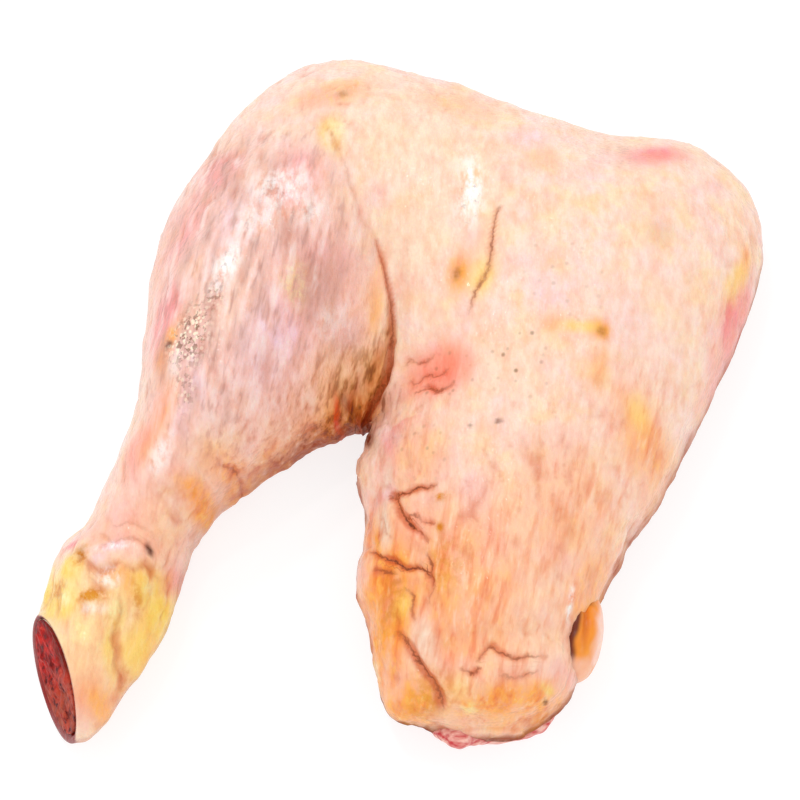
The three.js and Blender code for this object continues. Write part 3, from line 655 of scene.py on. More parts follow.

# %% [markdown]
# ## Where each colour lies
#
# Raw chicken skin isn't one colour. It is cream where fat lies under it, mauve over the drumstick's dark
# meat, rosy where blood shows, orange where the fat is thick and yellow at the hock. Some zones are painted
# light and shade: highlights of the wet film, glints on the pebbly calf, and shade in the knee's pit and the
# notch. Each colour gets a zone, made of soft spots with a place and a size in millimetres. The spots'
# edges are made uneven by moving the points with noise.

# %% Soft spots for each colour
# x, y, half width, half length, turn in degrees, strength
ZONES = dict(
    # painted shade in the knee's pit and its wedge at the notch
    pit_shade=[
        (-8.4, -4.6, 6, 4, 20, 1), (-5.6, 1.4, 2.4, 5.5, -18, 0.8), (-14.4, -8.4, 5.4, 2.2, 35, 0.9),
        (-22, -13.6, 5, 1.4, 38, 0.55), (-3.4, 9.5, 0.7, 7.5, -2, 0.45),
    ],
    # painted shade, saturated orange, on the steep calf beside the notch
    fiery_pit_shade=[
        (-13.8, -6.8, 0.9, 2.8, -4, 1.1), (-7.8, -6.6, 0.9, 2.2, -22, 0.5), (-9.6, -5.6, 0.7, 1.8, -20, 0.4),
    ],
    scab=[
        (-44.9, 2.3, 0.85, 0.75, 0, 1.3), (-50.5, -34.1, 0.65, 0.95, 0, 1.1), (18, -13.6, 0.7, 0.5, 0, 0.8),
        (11.9, -13.4, 0.6, 0.4, 0, 0.6), (26.6, -63.4, 0.6, 0.5, 0, 0.9),
    ],
    dotted=[(22, 0, 6, 8, 0, 1), (8, -3, 6, 6, 0, 0.6), (30, 16, 10, 12, 0, 0.3), (3, -17, 5, 6, 0, 0.5)],
    # painted glints on the calf's pebbly patch
    pebbly_painted_glints=[(-41, 3.5, 3.6, 6.5, -6, 1), (-37, 10.5, 2.6, 3, 0, 0.6), (-42.6, -7, 2.4, 5, -8, 0.5)],
    # painted highlights: white patches of the wet film on the calf, the thigh and the hock
    painted_highlights=[
        (-34.6, 17, 2.6, 4.6, -24, 1), (-36.6, 12.5, 1.8, 2.2, 0, 0.7), (-24.5, 33, 5, 5, -20, 0.75),
        (-29, 26, 4, 5, -20, 0.45), (-19.5, 29, 3, 3.4, 0, 0.5), (12, 36, 2.6, 7.5, -4, 1),
        (13.4, 31, 1.8, 4, -8, 0.7), (-46.4, -18.4, 2, 4, -14, 0.6), (-57, -34.4, 3.4, 1, 8, 0.8),
        (-57.4, -40.4, 2, 1.8, 0, 0.85), (-60.3, -46.4, 2.4, 1.1, 0, 0.5), (31.4, -46.6, 1, 3.6, -6, 0.9),
        (-14.6, 8, 2.6, 4, -25, 0.35),
    ],
    dusky=[
        (-16.5, 13.5, 4.6, 7.5, -10, 0.9), (-12.5, 4, 2.4, 5, -15, 0.5), (-22, 22, 3, 4, 0, 0.5),
        (-31, 33, 2.4, 5, -24, 0.3), (-32, 41, 6, 4, -35, 0.45), (-27, -2, 3, 4, 0, 0.3),
        (-45, -3, 1.6, 5, -10, 0.4), (19, 37, 1.2, 8, -6, 0.25),
    ],
    # pale yellow spots; those on the hock are painted highlights
    straw_and_highlights=[
        (-66.3, -44.4, 2, 1.6, 0, 0.9), (-56.3, -46.3, 1.4, 1.8, 0, 0.9), (-62.4, -50.4, 1.8, 2.6, 0, 0.8),
        (-50.2, -41.6, 1.4, 1.8, 0, 0.8), (-21, 14, 2.4, 4, 0, 0.5), (12.4, -66, 2.6, 1.4, 0, 0.5),
        (-5.6, -57, 1.2, 3, 0, 0.5), (-13, 47.5, 1.4, 3, 0, 0.5),
    ],
    # painted highlights: a pale sheen on the thigh's side and at its rear
    pale_highlights=[
        (3.8, -53.6, 2.2, 4, 16, 0.9), (-5.6, -13.5, 1.6, 6, 8, 0.6), (-3.8, -19, 1.5, 4, 0, 0.8),
        (-3.2, -30, 1.5, 5.5, -2, 1),
    ],
    ruddy=[
        (14, -46, 22, 26, 0, 1), (34, -26, 16, 20, -20, 0.8), (50, -12, 8, 14, 30, 0.8),
        (-6, -30, 8, 30, 0, 0.9), (-50, -26, 12, 14, -25, 0.4), (-24, -14, 14, 8, 35, 0.9),
        (64, 18, 6, 20, -12, 0.5), (4, -6, 9, 12, 0, 0.6), (-56, -50, 12, 18, 0, 0.5),
    ],
    mauve=[
        (-31, 17, 21, 33, -18, 1), (-37, 0, 15, 18, -25, 0.95), (-44, -15, 9, 12, -28, 0.35),
        (43, 46, 5, 4, 0, 0.35), (-40, 38, 10, 14, -35, 1),
        (-46, 10, 5, 20, -10, 0.9),
    ],
    lilac=[
        (-24.5, -0.4, 6.5, 9, -10, 0.9), (-41.5, -8, 3.5, 8, -12, 0.5), (-33, 28, 6, 6, 0, 0.4),
        (24, 48, 5, 3, 0, 0.5), (42, 8, 6, 8, 0, 0.3), (28, 14, 5, 7, 0, 0.25),
        (-57.2, -34.4, 2.4, 1.1, 10, 1.3), (-59.2, -37.2, 1.8, 1.4, 0, 0.8),
        (-3.6, -23.6, 1.8, 3.4, 0, 0.9), (-2, -12, 3, 2.6, 30, 0.5), (12.5, -28, 2.2, 5, 0, 0.5),
    ],
    rose=[
        (-44.5, 27, 4, 12, -20, 0.5), (-36.5, 40, 5, 6, -35, 0.6), (-47.6, 9, 3.4, 9, 0, 0.75),
        (-22, 35, 5, 7, -20, 0.5), (-17, 14, 7, 11, -10, 0.45), (50.5, 45.5, 6.5, 3.2, 8, 1),
        (67, 14, 3, 9, -14, 0.9), (62, 2, 3, 9, -18, 0.5), (-47, -20, 5, 9, -28, 0.25),
        (14, 22, 5, 5, 0, 0.2), (8, -52, 5, 6, 0, 0.45), (30, -60, 4, 3, 0, 0.3),
        (-54.5, -30, 6, 6, -20, 0.35), (-66, -32.6, 2.4, 1, 10, 0.9), (-46.5, -38.5, 2.2, 3.4, -14, 0.8),
        (-62.6, -64.6, 2.4, 3.6, 0, 0.6), (31.5, -45.6, 1.6, 1.6, 0, 0.6), (-1.3, -54, 0.8, 4.6, 0, 1.1),
        (-3.4, -16, 2, 5, 0, 0.5), (0.5, -9, 3.4, 2.4, 20, 0.6),
    ],
    blush=[
        (6, -0.8, 6.6, 5.2, 0, 1), (-50.6, -15, 2.6, 9, -26, 0.6), (3, -32, 4, 6, 0, 0.35),
        (51, 45, 3, 2, 0, 0.5),
    ],
    cream=[
        (2, 47, 15, 12, 0, 0.8), (2, 27, 8, 15, -8, 0.85), (-3, 60, 10, 6, 0, 0.5), (20, 0, 8, 10, 0, 0.55),
        (14, 36, 8, 9, 0, 0.6), (50, 8, 8, 12, 0, 0.3), (-60.8, -53, 7, 9, -10, 1),
        (-64, -45, 4, 5, 0, 0.6), (-33, 9, 3, 8, -20, 0.4), (19, -53, 8, 4, 0, 0.3),
    ],
    butter=[
        (-60.8, -53, 9, 12, -10, 1), (-64, -44, 6.5, 7, 0, 1), (-55, -44, 8, 7, 0, 0.9),
        (-52, -50, 5, 9, -10, 0.9), (15.5, 20, 2.6, 8, -10, 0.5),
    ],
    peach=[
        (12, -44, 18, 20, 0, 0.75), (30, -30, 14, 16, -20, 0.5), (47, -18, 7, 14, 30, 0.6),
        (-20, -4, 10, 6, 30, 0.3), (-50, -30, 6, 6, -25, 0.6), (-37, -22, 7, 7, 40, 0.5),
        (-60, -60.5, 4.5, 5.5, -10, 0.5),
    ],
    yellow=[
        (-50.3, -41, 3.6, 4.4, 0, 1), (-48.4, -46.4, 3.4, 6, -15, 1), (-65.6, -38.4, 3.6, 3.4, 0, 0.9),
        (-67.4, -44.6, 4.4, 4.4, 0, 1), (-70.5, -41, 2.6, 5, 0, 0.9), (-51.6, -52, 3, 7, -8, 0.8),
        (26.8, -61.6, 1.3, 0.8, 0, 0.8), (66.5, 20, 2, 5, -10, 0.6), (-14.2, 46, 2.2, 5.5, 4, 0.6),
        (9, -62, 3, 3, 0, 0.4), (46, -10, 2.5, 3, 0, 0.5), (-56, -52, 1.6, 8, -4, 0.7),
        (-1.6, -47, 1.8, 2.6, 0, 0.7), (33.6, 5.6, 3.6, 1.6, 0, 0.6), (14.6, 16.5, 1.8, 4, -8, 0.6),
    ],
    # orange fat, and painted shade on the calf's lower edge beside the pit
    orange_and_low_shade=[
        (-3.4, -47, 5.4, 19, -4, 1), (-4.4, -34, 3.6, 9, 0, 0.9), (7, -44, 6, 10, 0, 0.55),
        (0.6, -64, 6, 5, 0, 1), (20, -64.6, 14, 4.2, 3, 1), (12, -47, 10, 16, 0, 0.35),
        (36, -44, 6, 12, -20, 0.6), (10.6, 17.3, 2.4, 4, -10, 0.9), (36.6, 5.1, 2.4, 3, 0, 0.9),
        (28.6, 5.7, 2.4, 2.2, 0, 0.4), (-15, 58, 7, 3.4, 8, 0.6), (12, 57, 9, 4, -8, 0.35),
        (47, -13.6, 5, 8, 30, 0.55), (67.5, 24, 1.4, 5, 0, 0.6), (-39, -26.4, 3, 5.5, 42, 1),
        (-33, -20.6, 3.4, 6, 55, 0.8), (-45.4, 2.4, 1.8, 6, -12, 0.8), (-47, -12, 1.8, 8, -20, 0.5),
        (-12.4, -6.5, 7, 3.4, 30, 0.8), (-18, -11, 6, 3.4, 35, 0.7), (-26, -16, 6, 3, 38, 0.6),
        (-58.6, -64.4, 3.6, 3.4, 0, 0.75), (-50.9, -50, 2.6, 9, -14, 0.5), (30, -30, 8, 12, -10, 0.25),
        (27, 43, 4, 3, 0, 0.4), (-54.8, -40.6, 1.8, 3, 20, 0.8), (-48, -41, 1.2, 4, -14, 0.4),
        (36.5, -3, 2.4, 4, 0, 0.4), (-6.2, 15, 2, 9, -12, 0.5), (2.5, -18, 5, 7, 0, 0.4),
    ],
    ochre=[
        (-60.6, -43.8, 3, 1.3, 8, 1), (-68, -42.4, 1.7, 1.6, 0, 0.9), (-63.4, -36, 1.7, 2.2, -30, 0.9),
        (-52.8, -43.4, 1.6, 3.4, 16, 0.55), (-54.6, -58.6, 1, 3.2, -10, 0.45),
        (-56.6, -48, 1.6, 1.6, 0, 0.5), (7.7, -26.7, 1.2, 0.8, 0, 0.9), (7.5, -32.7, 0.9, 1, 0, 0.9),
        (-3, -45.5, 2.4, 7, -4, 0.5), (8, -40, 5, 7, -20, 0.4), (4, -63, 4, 5, 0, 0.5),
        (37.4, 4.4, 1.4, 1.8, 0, 0.5),
    ],
    # brown spots, and painted shade at the notch's bottom and in the knee's pit
    brown_spots_and_shade=[
        (-63.2, -35.4, 1, 1.3, -20, 0.35), (10.4, 17.2, 0.9, 1.4, -10, 0.5),
        (-10.2, -4.4, 1.6, 3.4, 62, 0.45), (-7.8, -9.6, 2.2, 2.2, 0, 1.2), (-12.5, 57.4, 1.6, 1, 0, 0.4),
        (36.8, 4.6, 0.9, 1.2, 0, 0.4), (50, 26, 3.4, 3, 0, 0.12),
    ],
)


def zone(spots):
    """The strongest of its spots. A spot is its strength times e to the minus distance^3, with the distance
    from its middle measured in half widths and half lengths."""
    strongest = np.zeros(x.shape)
    for spot_x, spot_y, half_width, half_length, turn, strength in spots:
        across, lengthways = turned(x, y, spot_x, spot_y, turn)
        distance = np.hypot(across / half_width, lengthways / half_length)
        strongest = np.maximum(strongest, strength * np.exp(-(distance**3)))
    return strongest


zones = {name: zone(spots) for name, spots in ZONES.items()}
shares = {name: round(float((values > 0.3).mean()), 3) for name, values in zones.items()}
print("share of the skin in each zone:", shares)

# %% [markdown]
# ## Zones that follow the form
#
# Some zones follow the shape and not a spot. Mauve and rose stay on the drumstick's side of the knee's pit,
# whose bunched skin gets painted shade in brown streaks, darkest down in the pit. Shade is painted brown too
# where the skin turns under, along the table and under the skin's rim at the thigh's end, and painted orange
# on the low sides. Painted shade also darkens the hollows of the fine relief. Under the leg there is no skin:
# red meat lies bare there, and the lip round the bone shows red flesh. Where it is dark the skin also has no
# film of juice, which the dull zone keeps.

# %% Zones from the shape, all stored on the mesh
drumstick_side = smooth_step(-2.5, 2.5, pit_x - x)
zones["mauve"] *= np.where(x < 30, drumstick_side, 1)
zones["rose"] *= np.where((x < 30) & (y > -10), np.maximum(drumstick_side, smooth_step(2, 8, x)), 1)
# painted shade on the bunched skin of the calf's steep side, darker in its folds
zones["bunched_skin_shade"] = beside_pit * smooth_step(20, -2, y)
# painted shade down in the knee's pit, darkest at the notch
pit_width = mix(0.5, 1.7, smooth_step(3, -6, y))
down_in_pit = smooth_step(-0.7, 0.5, pit_distance) * np.exp(-((pit_distance / pit_width) ** 2))
down_in_pit *= smooth_step(-60, -20, y)
zones["deep_pit_shade"] = down_in_pit * smooth_step(2, -5, y)
zones["pit_shade"] = np.maximum(zones["pit_shade"], 0.4 * down_in_pit * smooth_step(22, 4, y))

height = rings[..., 2]
bare_under = smooth_step(3.4, 0.6, height + 1.2 * lumps(rings, 6, 21)) * smooth_step(-0.6, 0.2, height)
thigh_end = at_thigh_end * below_edge
zones["meat"] = np.maximum(bare_under, thigh_end)
# painted shade: the low sides of the leg are laid orange
low_side_shade = smooth_step(11, 3, height)
zones["orange_and_low_shade"] = np.maximum(zones["orange_and_low_shade"], 0.55 * low_side_shade)
# painted contact shade low on the sides, next to the table
zones["brown_spots_and_shade"] = np.maximum(zones["brown_spots_and_shade"], 0.55 * smooth_step(2.6, 1.0, height))

# painted shade where the fine relief is low: creases and wrinkles
zones["hollow_shade"] = smooth_step(-0.05, -0.6, fine_relief)

# painted shade on the skin that turns under, at the front and in the notch between the limbs
facing = outwards * normals
sideways = np.where((x > -12) & (y < -6), np.abs(facing[..., 0]), facing[..., 0])
towards_front = smooth_step(-0.1, 0.5, 0.6 * sideways - 0.8 * facing[..., 1])
notch_wall = smooth_step(10, 0, x) * smooth_step(-10, -4, x)
edge_from = mix(0.34, 0.08, notch_wall)
turned_under = smooth_step(edge_from, edge_from - 0.4, facing[..., 2]) * towards_front
up_the_drumstick = smooth_step(-22, -40, x)
zones["underside"] = mix(0.85, 0.35, up_the_drumstick) * turned_under
# painted shade under the skin's rim at the thigh's cut end
rim_of_skin = at_thigh_end * smooth_step(0.15, -0.15, facing[..., 2])
zones["brown_spots_and_shade"] = np.maximum(zones["brown_spots_and_shade"], 0.8 * rim_of_skin)
dark_zones = [zones[name] for name in ("underside", "pit_shade", "deep_pit_shade", "brown_spots_and_shade", "scab")]
zones["dull"] = np.max(dark_zones, axis=0)

red_reaches = len(channel) + mix(3.0, 7.0, smooth_step(13, 7, height))
zones["cut_flesh"] = smooth_step(red_reaches + 1, red_reaches - 1, ring_number)
for name, values in zones.items():
    paint_zone(leg_skin, name, np.clip(values, 0, 1))
paint_zone(leg_skin, "line_distance", line_distance)
paint_zone(leg_skin, "line_strength", line_strength * out_of_channel)
print("zones on the mesh:", [layer.name for layer in leg_skin.data.attributes if layer.name in zones])

# %% [markdown]
# ## Nodes and colours
#
# A material here is a graph of nodes. One small function adds a node with its settings and its links, so a
# graph reads from top to bottom as a recipe. Colours are written as the hex values that a colour picker
# shows, which are sRGB, and the shader needs them as linear light.


# %% Helpers for every material
def linear(hex_colour):
    """sRGB to linear: c / 12.92 up to 0.04045, and ((c + 0.055) / 1.055)^2.4 above."""
    c = np.array([int(hex_colour[i : i + 2], 16) / 255 for i in (1, 3, 5)])
    c = np.where(c <= 0.04045, c / 12.92, ((c + 0.055) / 1.055) ** 2.4)
    return (*c.tolist(), 1.0)


def add_node(tree, kind, settings=None, **inputs):
    """A node with its properties set, and each named or numbered input set to a value or linked to a
    socket. The kind is the node's type without the word ShaderNode, and _0 is the first input."""
    node = tree.nodes.new("ShaderNode" + kind)
    for name, value in (settings or {}).items():
        setattr(node, name, value)
    for name, value in inputs.items():
        socket = node.inputs[int(name[1:]) if name[1:].isdigit() else name.replace("_", " ")]
        if isinstance(value, bpy.types.NodeSocket):
            tree.links.new(value, socket)
        else:
            socket.default_value = value
    return node


def new_material(name):
    """A material with nothing in its node tree yet, and the tree."""
    material = bpy.data.materials.new(name)
    material.use_nodes = True
    material.node_tree.nodes.clear()
    return material, material.node_tree


print("cream in linear light:", [round(c, 3) for c in linear("#FBE3C3")])

# %% [markdown]
# ## Raw chicken skin
#
# Raw plucked skin is thin, a little see-through and wet. Light goes in, is scattered by the fat and comes
# out softened, so the shader has subsurface scattering of a few millimetres, more for red light than for
# blue. The film of juice on top is a clear coat with sharp highlights, over a rougher skin. Plucking leaves
# the follicles as small pimples. First come the patterns that break up the colours. Each one's scale is 1
# over the size of its lumps in metres.

# %% The patterns in the skin
raw_skin, tree = new_material("raw_chicken_skin")
coordinates = add_node(tree, "TexCoord").outputs["Object"]
places = dict(plain=coordinates)
# how many times longer than wide the marks are, and how far they turn off the leg's length, in radians
for name, longer, turn in [("stretched", 2.0, 0.0), ("threaded", 5.0, -0.16)]:
    stretch = dict(Rotation=(0.0, 0.0, turn), Scale=(1.0, longer, 2.0))
    mapping = add_node(tree, "Mapping", {"vector_type": "TEXTURE"}, Vector=coordinates, **stretch)
    places[name] = mapping.outputs[0]

# the size of a lump in mm, levels of detail, and how it is drawn out along the leg
NOISES = dict(
    drift=(14.0, 3.0, "plain"),  # slow change from cream to peach
    flush=(7.0, 3.0, "plain"),  # pinker and yellower places
    mottle=(3.0, 4.0, "stretched"),  # soft mottling
    strokes=(1.5, 6.0, "stretched"),  # fine short strokes of the skin's texture
    threads=(1.3, 2.0, "threaded"),  # long thin streaks of bunched skin
    folds=(2.6, 3.0, "threaded"),  # long soft streaks
    # clots also break the edges of the painted highlights
    clots=(2.0, 5.0, "plain"),  # broken edges of wet patches
    specks=(1.1, 2.0, "plain"),  # small dark specks
    wobble=(1.2, 2.0, "plain"),  # unsteady crease lines
    wrinkles=(1.6, 5.0, "stretched"),  # fine wrinkles, as bump
)
pattern = {}
for name, (size, detail, place) in NOISES.items():
    lump = dict(Scale=1 / (size * MM), Detail=detail, Roughness=0.6)
    pattern[name] = add_node(tree, "TexNoise", Vector=places[place], **lump).outputs[0]
# how far apart in mm: pebbles of wet skin, pores that show as dots, and a chicken's follicles
CELLS = dict(pebbles=1.0, dots=2.2, follicles=3.5)
for name, size in CELLS.items():
    cells = add_node(tree, "TexVoronoi", Vector=coordinates, Scale=1 / (size * MM))
    pattern[name] = cells.outputs["Distance"]
print("patterns:", list(pattern))

# %% [markdown]
# The zones lay their colours over a cream that drifts to peach. How strongly a layer is laid comes from its
# zone and from a pattern, so no zone is even. The order matters, since each layer covers the ones before
# it: broad colours and painted shade first, then fine mottling and painted shade in the hollows, then
# painted highlights of the wet film, specks and creases.


# %% The layers of colour
def painted(tree, under, pattern, ramp, paint, zone_name=None, blend="MIX"):
    """A coat of paint over the colour under it. The ramp is a low and a high value of the pattern, and how
    much paint lies there. A zone's name multiplies that by the zone's number on the mesh."""
    low, high, at_low, at_high = ramp
    share = add_node(tree, "MapRange", _0=pattern, _1=low, _2=high, _3=at_low, _4=at_high).outputs[0]
    if zone_name:
        mask = add_node(tree, "Attribute", {"attribute_name": zone_name}).outputs["Fac"]
        settings = {"operation": "MULTIPLY", "use_clamp": True}
        share = add_node(tree, "Math", settings, _0=share, _1=mask).outputs[0]
    settings = {"data_type": "RGBA", "blend_type": blend}
    return add_node(tree, "Mix", settings, _0=share, _6=under, _7=linear(paint)).outputs[2]


# zone or None for everywhere, pattern, its low and high value, how much there, colour, blend
LAYERS = [
    (None, "drift", 0.36, 0.64, 0.0, 1.0, "#FCD8C0", "MIX"),
    (None, "flush", 0.50, 0.30, 0.0, 0.75, "#FCD4D0", "MIX"),
    (None, "flush", 0.52, 0.72, 0.0, 0.75, "#FEE4B4", "MIX"),
    ("mauve", "mottle", 0.3, 0.7, 0.6, 1.15, "#F0C6BC", "MIX"),
    ("lilac", "mottle", 0.3, 0.7, 0.55, 1.25, "#EFCCDC", "MIX"),
    ("rose", "mottle", 0.3, 0.7, 0.55, 1.25, "#F58E92", "MIX"),
    ("cream", "mottle", 0.3, 0.7, 0.55, 1.25, "#FDE1C6", "MIX"),
    ("butter", "mottle", 0.3, 0.7, 0.6, 1.2, "#FFDDA2", "MIX"),
    ("peach", "mottle", 0.3, 0.7, 0.5, 1.2, "#FFC398", "MIX"),
    # orange fat, and painted shade on the low sides
    ("orange_and_low_shade", "mottle", 0.3, 0.65, 0.4, 1.3, "#FFAC4A", "MIX"),
    ("orange_and_low_shade", "folds", 0.48, 0.32, 0.0, 0.5, "#EE8630", "MIX"),
    ("orange_and_low_shade", "strokes", 0.56, 0.70, 0.0, 0.7, "#FFC468", "MIX"),
    ("yellow", "mottle", 0.7, 0.35, 0.4, 1.3, "#FFE470", "MIX"),
    ("blush", "mottle", 0.3, 0.7, 0.55, 1.25, "#FF9278", "MIX"),
    ("ochre", "clots", 0.40, 0.58, 0.1, 1.3, "#E0981E", "MIX"),
    ("dusky", "flush", 0.65, 0.3, 0.5, 1.0, "#D0A294", "MIX"),
    # pale yellow, painted highlights on the hock
    ("straw_and_highlights", "clots", 0.40, 0.55, 0.2, 1.1, "#F8F2B0", "MIX"),
    # painted highlights: a pale sheen
    ("pale_highlights", "clots", 0.3, 0.7, 0.8, 1.1, "#F4E2CE", "MIX"),
    # painted shade beside and down in the knee's pit, with darker streaks in the folds
    ("bunched_skin_shade", "folds", 0.3, 0.7, 0.6, 1.1, "#F2BE80", "MIX"),
    ("pit_shade", "folds", 0.3, 0.7, 1.1, 0.8, "#C4661A", "MIX"),
    ("bunched_skin_shade", "threads", 0.56, 0.38, 0.0, 0.9, "#C88434", "MIX"),
    ("bunched_skin_shade", "threads", 0.46, 0.30, 0.0, 0.8, "#9A5C20", "MIX"),
    ("pit_shade", "threads", 0.50, 0.34, 0.0, 1.0, "#7A380C", "MIX"),
    ("pit_shade", "threads", 0.54, 0.68, 0.0, 0.9, "#E8A25C", "MIX"),
    # painted shade deep in the pit
    ("deep_pit_shade", "threads", 0.34, 0.58, 1.0, 0.35, "#96340C", "MIX"),
    # painted shade where the skin turns under
    ("underside", "mottle", 0.3, 0.7, 1.0, 0.7, "#A24822", "MIX"),
    # painted shade, saturated orange, on the steep calf beside the notch
    ("fiery_pit_shade", "threads", 0.3, 0.55, 0.4, 1.1, "#E04A10", "MIX"),
    # brown spots, and painted shade at the notch, along the table and under the skin's rim
    ("brown_spots_and_shade", "strokes", 0.35, 0.6, 0.5, 1.2, "#7A2E0C", "MIX"),
    ("scab", "clots", 0.3, 0.6, 0.8, 1.0, "#54261A", "MIX"),
    ("meat", "mottle", 0.3, 0.7, 0.9, 1.1, "#D8605A", "MIX"),
    (None, "mottle", 0.62, 0.26, 0.0, 0.38, "#F2BE98", "MULTIPLY"),
    (None, "strokes", 0.62, 0.28, 0.0, 0.24, "#F0BE9E", "MULTIPLY"),
    ("ruddy", "folds", 0.54, 0.34, 0.0, 0.42, "#F0A880", "MULTIPLY"),
    ("ruddy", "threads", 0.46, 0.32, 0.0, 0.26, "#EBA47C", "MULTIPLY"),
    ("ruddy", "threads", 0.58, 0.72, 0.0, 0.35, "#FFE6CC", "MIX"),
    ("mauve", "folds", 0.53, 0.32, 0.0, 0.7, "#C8988A", "MIX"),
    ("mauve", "folds", 0.52, 0.70, 0.0, 0.7, "#F8E6E0", "MIX"),
    ("mauve", "threads", 0.44, 0.32, 0.0, 0.4, "#B47E74", "MIX"),
    # painted shade in the hollows of the fine relief
    ("hollow_shade", "mottle", 0.0, 1.0, 0.5, 0.9, "#D9875A", "MULTIPLY"),
    # painted highlights of the wet film, broken by grey specks
    ("painted_highlights", "strokes", 0.36, 0.58, 0.0, 1.0, "#FFFCF8", "MIX"),
    ("painted_highlights", "specks", 0.62, 0.70, 0.0, 0.5, "#A8989A", "MIX"),
    # painted glints on the pebbly skin, with dark specks between them
    ("pebbly_painted_glints", "pebbles", 0.50, 0.30, 0.0, 0.9, "#FFF0D6", "MIX"),
    ("pebbly_painted_glints", "specks", 0.53, 0.60, 0.0, 0.9, "#8C5E48", "MIX"),
    ("dotted", "dots", 0.26, 0.10, 0.0, 0.85, "#8E6C4C", "MIX"),
    ("cut_flesh", "mottle", 0.0, 1.0, 1.0, 1.0, "#8E1E18", "MIX"),
]
colour = linear("#FCE2D2")
for zone_name, name, *ramp, paint, blend in LAYERS:
    colour = painted(tree, colour, pattern[name], ramp, paint, zone_name, blend)
print("layers of colour:", len(LAYERS))

# %% [markdown]
# Each crease gets a thin dark line of painted shadow, unsteady and broken as a real fold's shadow is, inside
# a wider band of painted reddish shade. The line lies where the distance from the crease's path, pushed about
# by noise, is nearly zero.

# %% The line in each crease
signed_distance = add_node(tree, "Attribute", {"attribute_name": "line_distance"}).outputs["Fac"]
line_strength = add_node(tree, "Attribute", {"attribute_name": "line_strength"}).outputs["Fac"]
push = add_node(tree, "MapRange", _0=pattern["wobble"], _1=0.2, _2=0.8, _3=-0.5, _4=0.5).outputs[0]
pushed = add_node(tree, "Math", {"operation": "ADD"}, _0=signed_distance, _1=push).outputs[0]
off_line = add_node(tree, "Math", {"operation": "ABSOLUTE"}, _0=pushed).outputs[0]
breaks = add_node(tree, "MapRange", _0=pattern["mottle"], _1=0.36, _2=0.54, _3=0.35, _4=1.0).outputs[0]
drawn = add_node(tree, "Math", {"operation": "MULTIPLY"}, _0=line_strength, _1=breaks).outputs[0]
# painted shade round each crease, and a painted shadow line in it
# full up to this distance in mm, gone from this one on, how strong, and colour
SHADE_BAND = (0.15, 0.85, 0.8, "#D8703C")
SHADOW_LINE = (0.06, 0.36, 1.0, "#74300F")
for near, far, most, paint in (SHADE_BAND, SHADOW_LINE):
    core = add_node(tree, "MapRange", _0=off_line, _1=near, _2=far, _3=most, _4=0.0).outputs[0]
    share = add_node(tree, "Math", {"operation": "MULTIPLY"}, _0=core, _1=drawn).outputs[0]
    colour = add_node(tree, "Mix", {"data_type": "RGBA"}, _0=share, _6=colour, _7=linear(paint)).outputs[2]
print("crease lines about", round(2 * SHADOW_LINE[1], 1), "mm wide")

# %% [markdown]
# The last touches: follicles and wrinkles as bump, and a roughness that varies, because juice gathers in
# some places and leaves others matt. The film of juice has a bump of its own, since it flows over the
# wrinkles, and it is missing where the dull zone says so. Moist tissue has an IOR of about 1.40 and the juice
# on it one of 1.36.


# %% Follicles, wrinkles and wetness
def dress(piece, material, **settings):
    """Ends a material with its shader, whose settings are values or sockets, and puts it on the piece."""
    shader = add_node(material.node_tree, "BsdfPrincipled", **settings)
    add_node(material.node_tree, "OutputMaterial", Surface=shader.outputs[0])
    piece.data.materials.append(material)


follicle = add_node(tree, "MapRange", _0=pattern["follicles"], _1=0.0, _2=0.25, _3=0.25, _4=0.0).outputs[0]
surface = add_node(tree, "Math", {"operation": "ADD"}, _0=follicle, _1=pattern["wrinkles"]).outputs[0]
bump = add_node(tree, "Bump", Height=surface, Strength=0.6, Distance=0.0010).outputs[0]
film = add_node(tree, "Bump", Height=pattern["pebbles"], Strength=0.35, Distance=0.0010).outputs[0]
roughness = add_node(tree, "MapRange", _0=pattern["strokes"], _1=0.3, _2=0.7, _3=0.32, _4=0.55).outputs[0]
dull = add_node(tree, "Attribute", {"attribute_name": "dull"}).outputs["Fac"]
gloss = add_node(tree, "MapRange", _0=dull, _1=0.1, _2=0.7, _3=0.3, _4=0.08).outputs[0]
wetness = add_node(tree, "MapRange", _0=dull, _1=0.1, _2=0.7, _3=0.45, _4=0.02).outputs[0]
dress(
    leg_skin, raw_skin, Base_Color=colour, Roughness=roughness, IOR=1.40, Specular_IOR_Level=gloss,
    Subsurface_Weight=0.2, Subsurface_Radius=(1.0, 0.45, 0.25), Subsurface_Scale=0.002,
    Coat_Weight=wetness, Coat_Roughness=0.14, Coat_IOR=1.36, Normal=bump, Coat_Normal=film,
)
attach(leg_skin, "root")
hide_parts("leg_quarter")
print("skin ready, its follicles this many mm apart:", CELLS["follicles"])

# %% [markdown]
# ## The sawn shin bone
#
# Where the foot was cut off, the end of the shin bone shows in the skin's ring. Bone at a joint is spongy
# and full of red marrow, and its surface is uneven, with darker and lighter tissue in bands. The piece is a
# tube along the bone's path. Its face is made of rings that shrink to the middle, with pits pressed into
# them.

# %% The bone
BONE_POINTS = 120
FACE_RINGS = 16
SHAFT_RINGS = 70
BONE_STANDS_OUT = 0.8  # past the flesh, in mm
LOW_END = (-53, -63)  # the y in mm where the face starts to turn brown, and where it is brownest
UPPER_SHADE = (0.35, 0.85)  # the same for the shade, in half heights of the face
bone_angles = np.linspace(0, 2 * np.pi, BONE_POINTS, endpoint=False)
shaft_places = (len(BONE_ROWS) - 1) * np.linspace(0, 1, SHAFT_RINGS) ** BONE_CROWDING
shaft = bone_rings(shaft_places, bone_angles, 0)
rim_ring = shaft[0] + CUT_FACING * BONE_STANDS_OUT
face_share = np.linspace(0.03, 0.97, FACE_RINGS)[:, None, None]
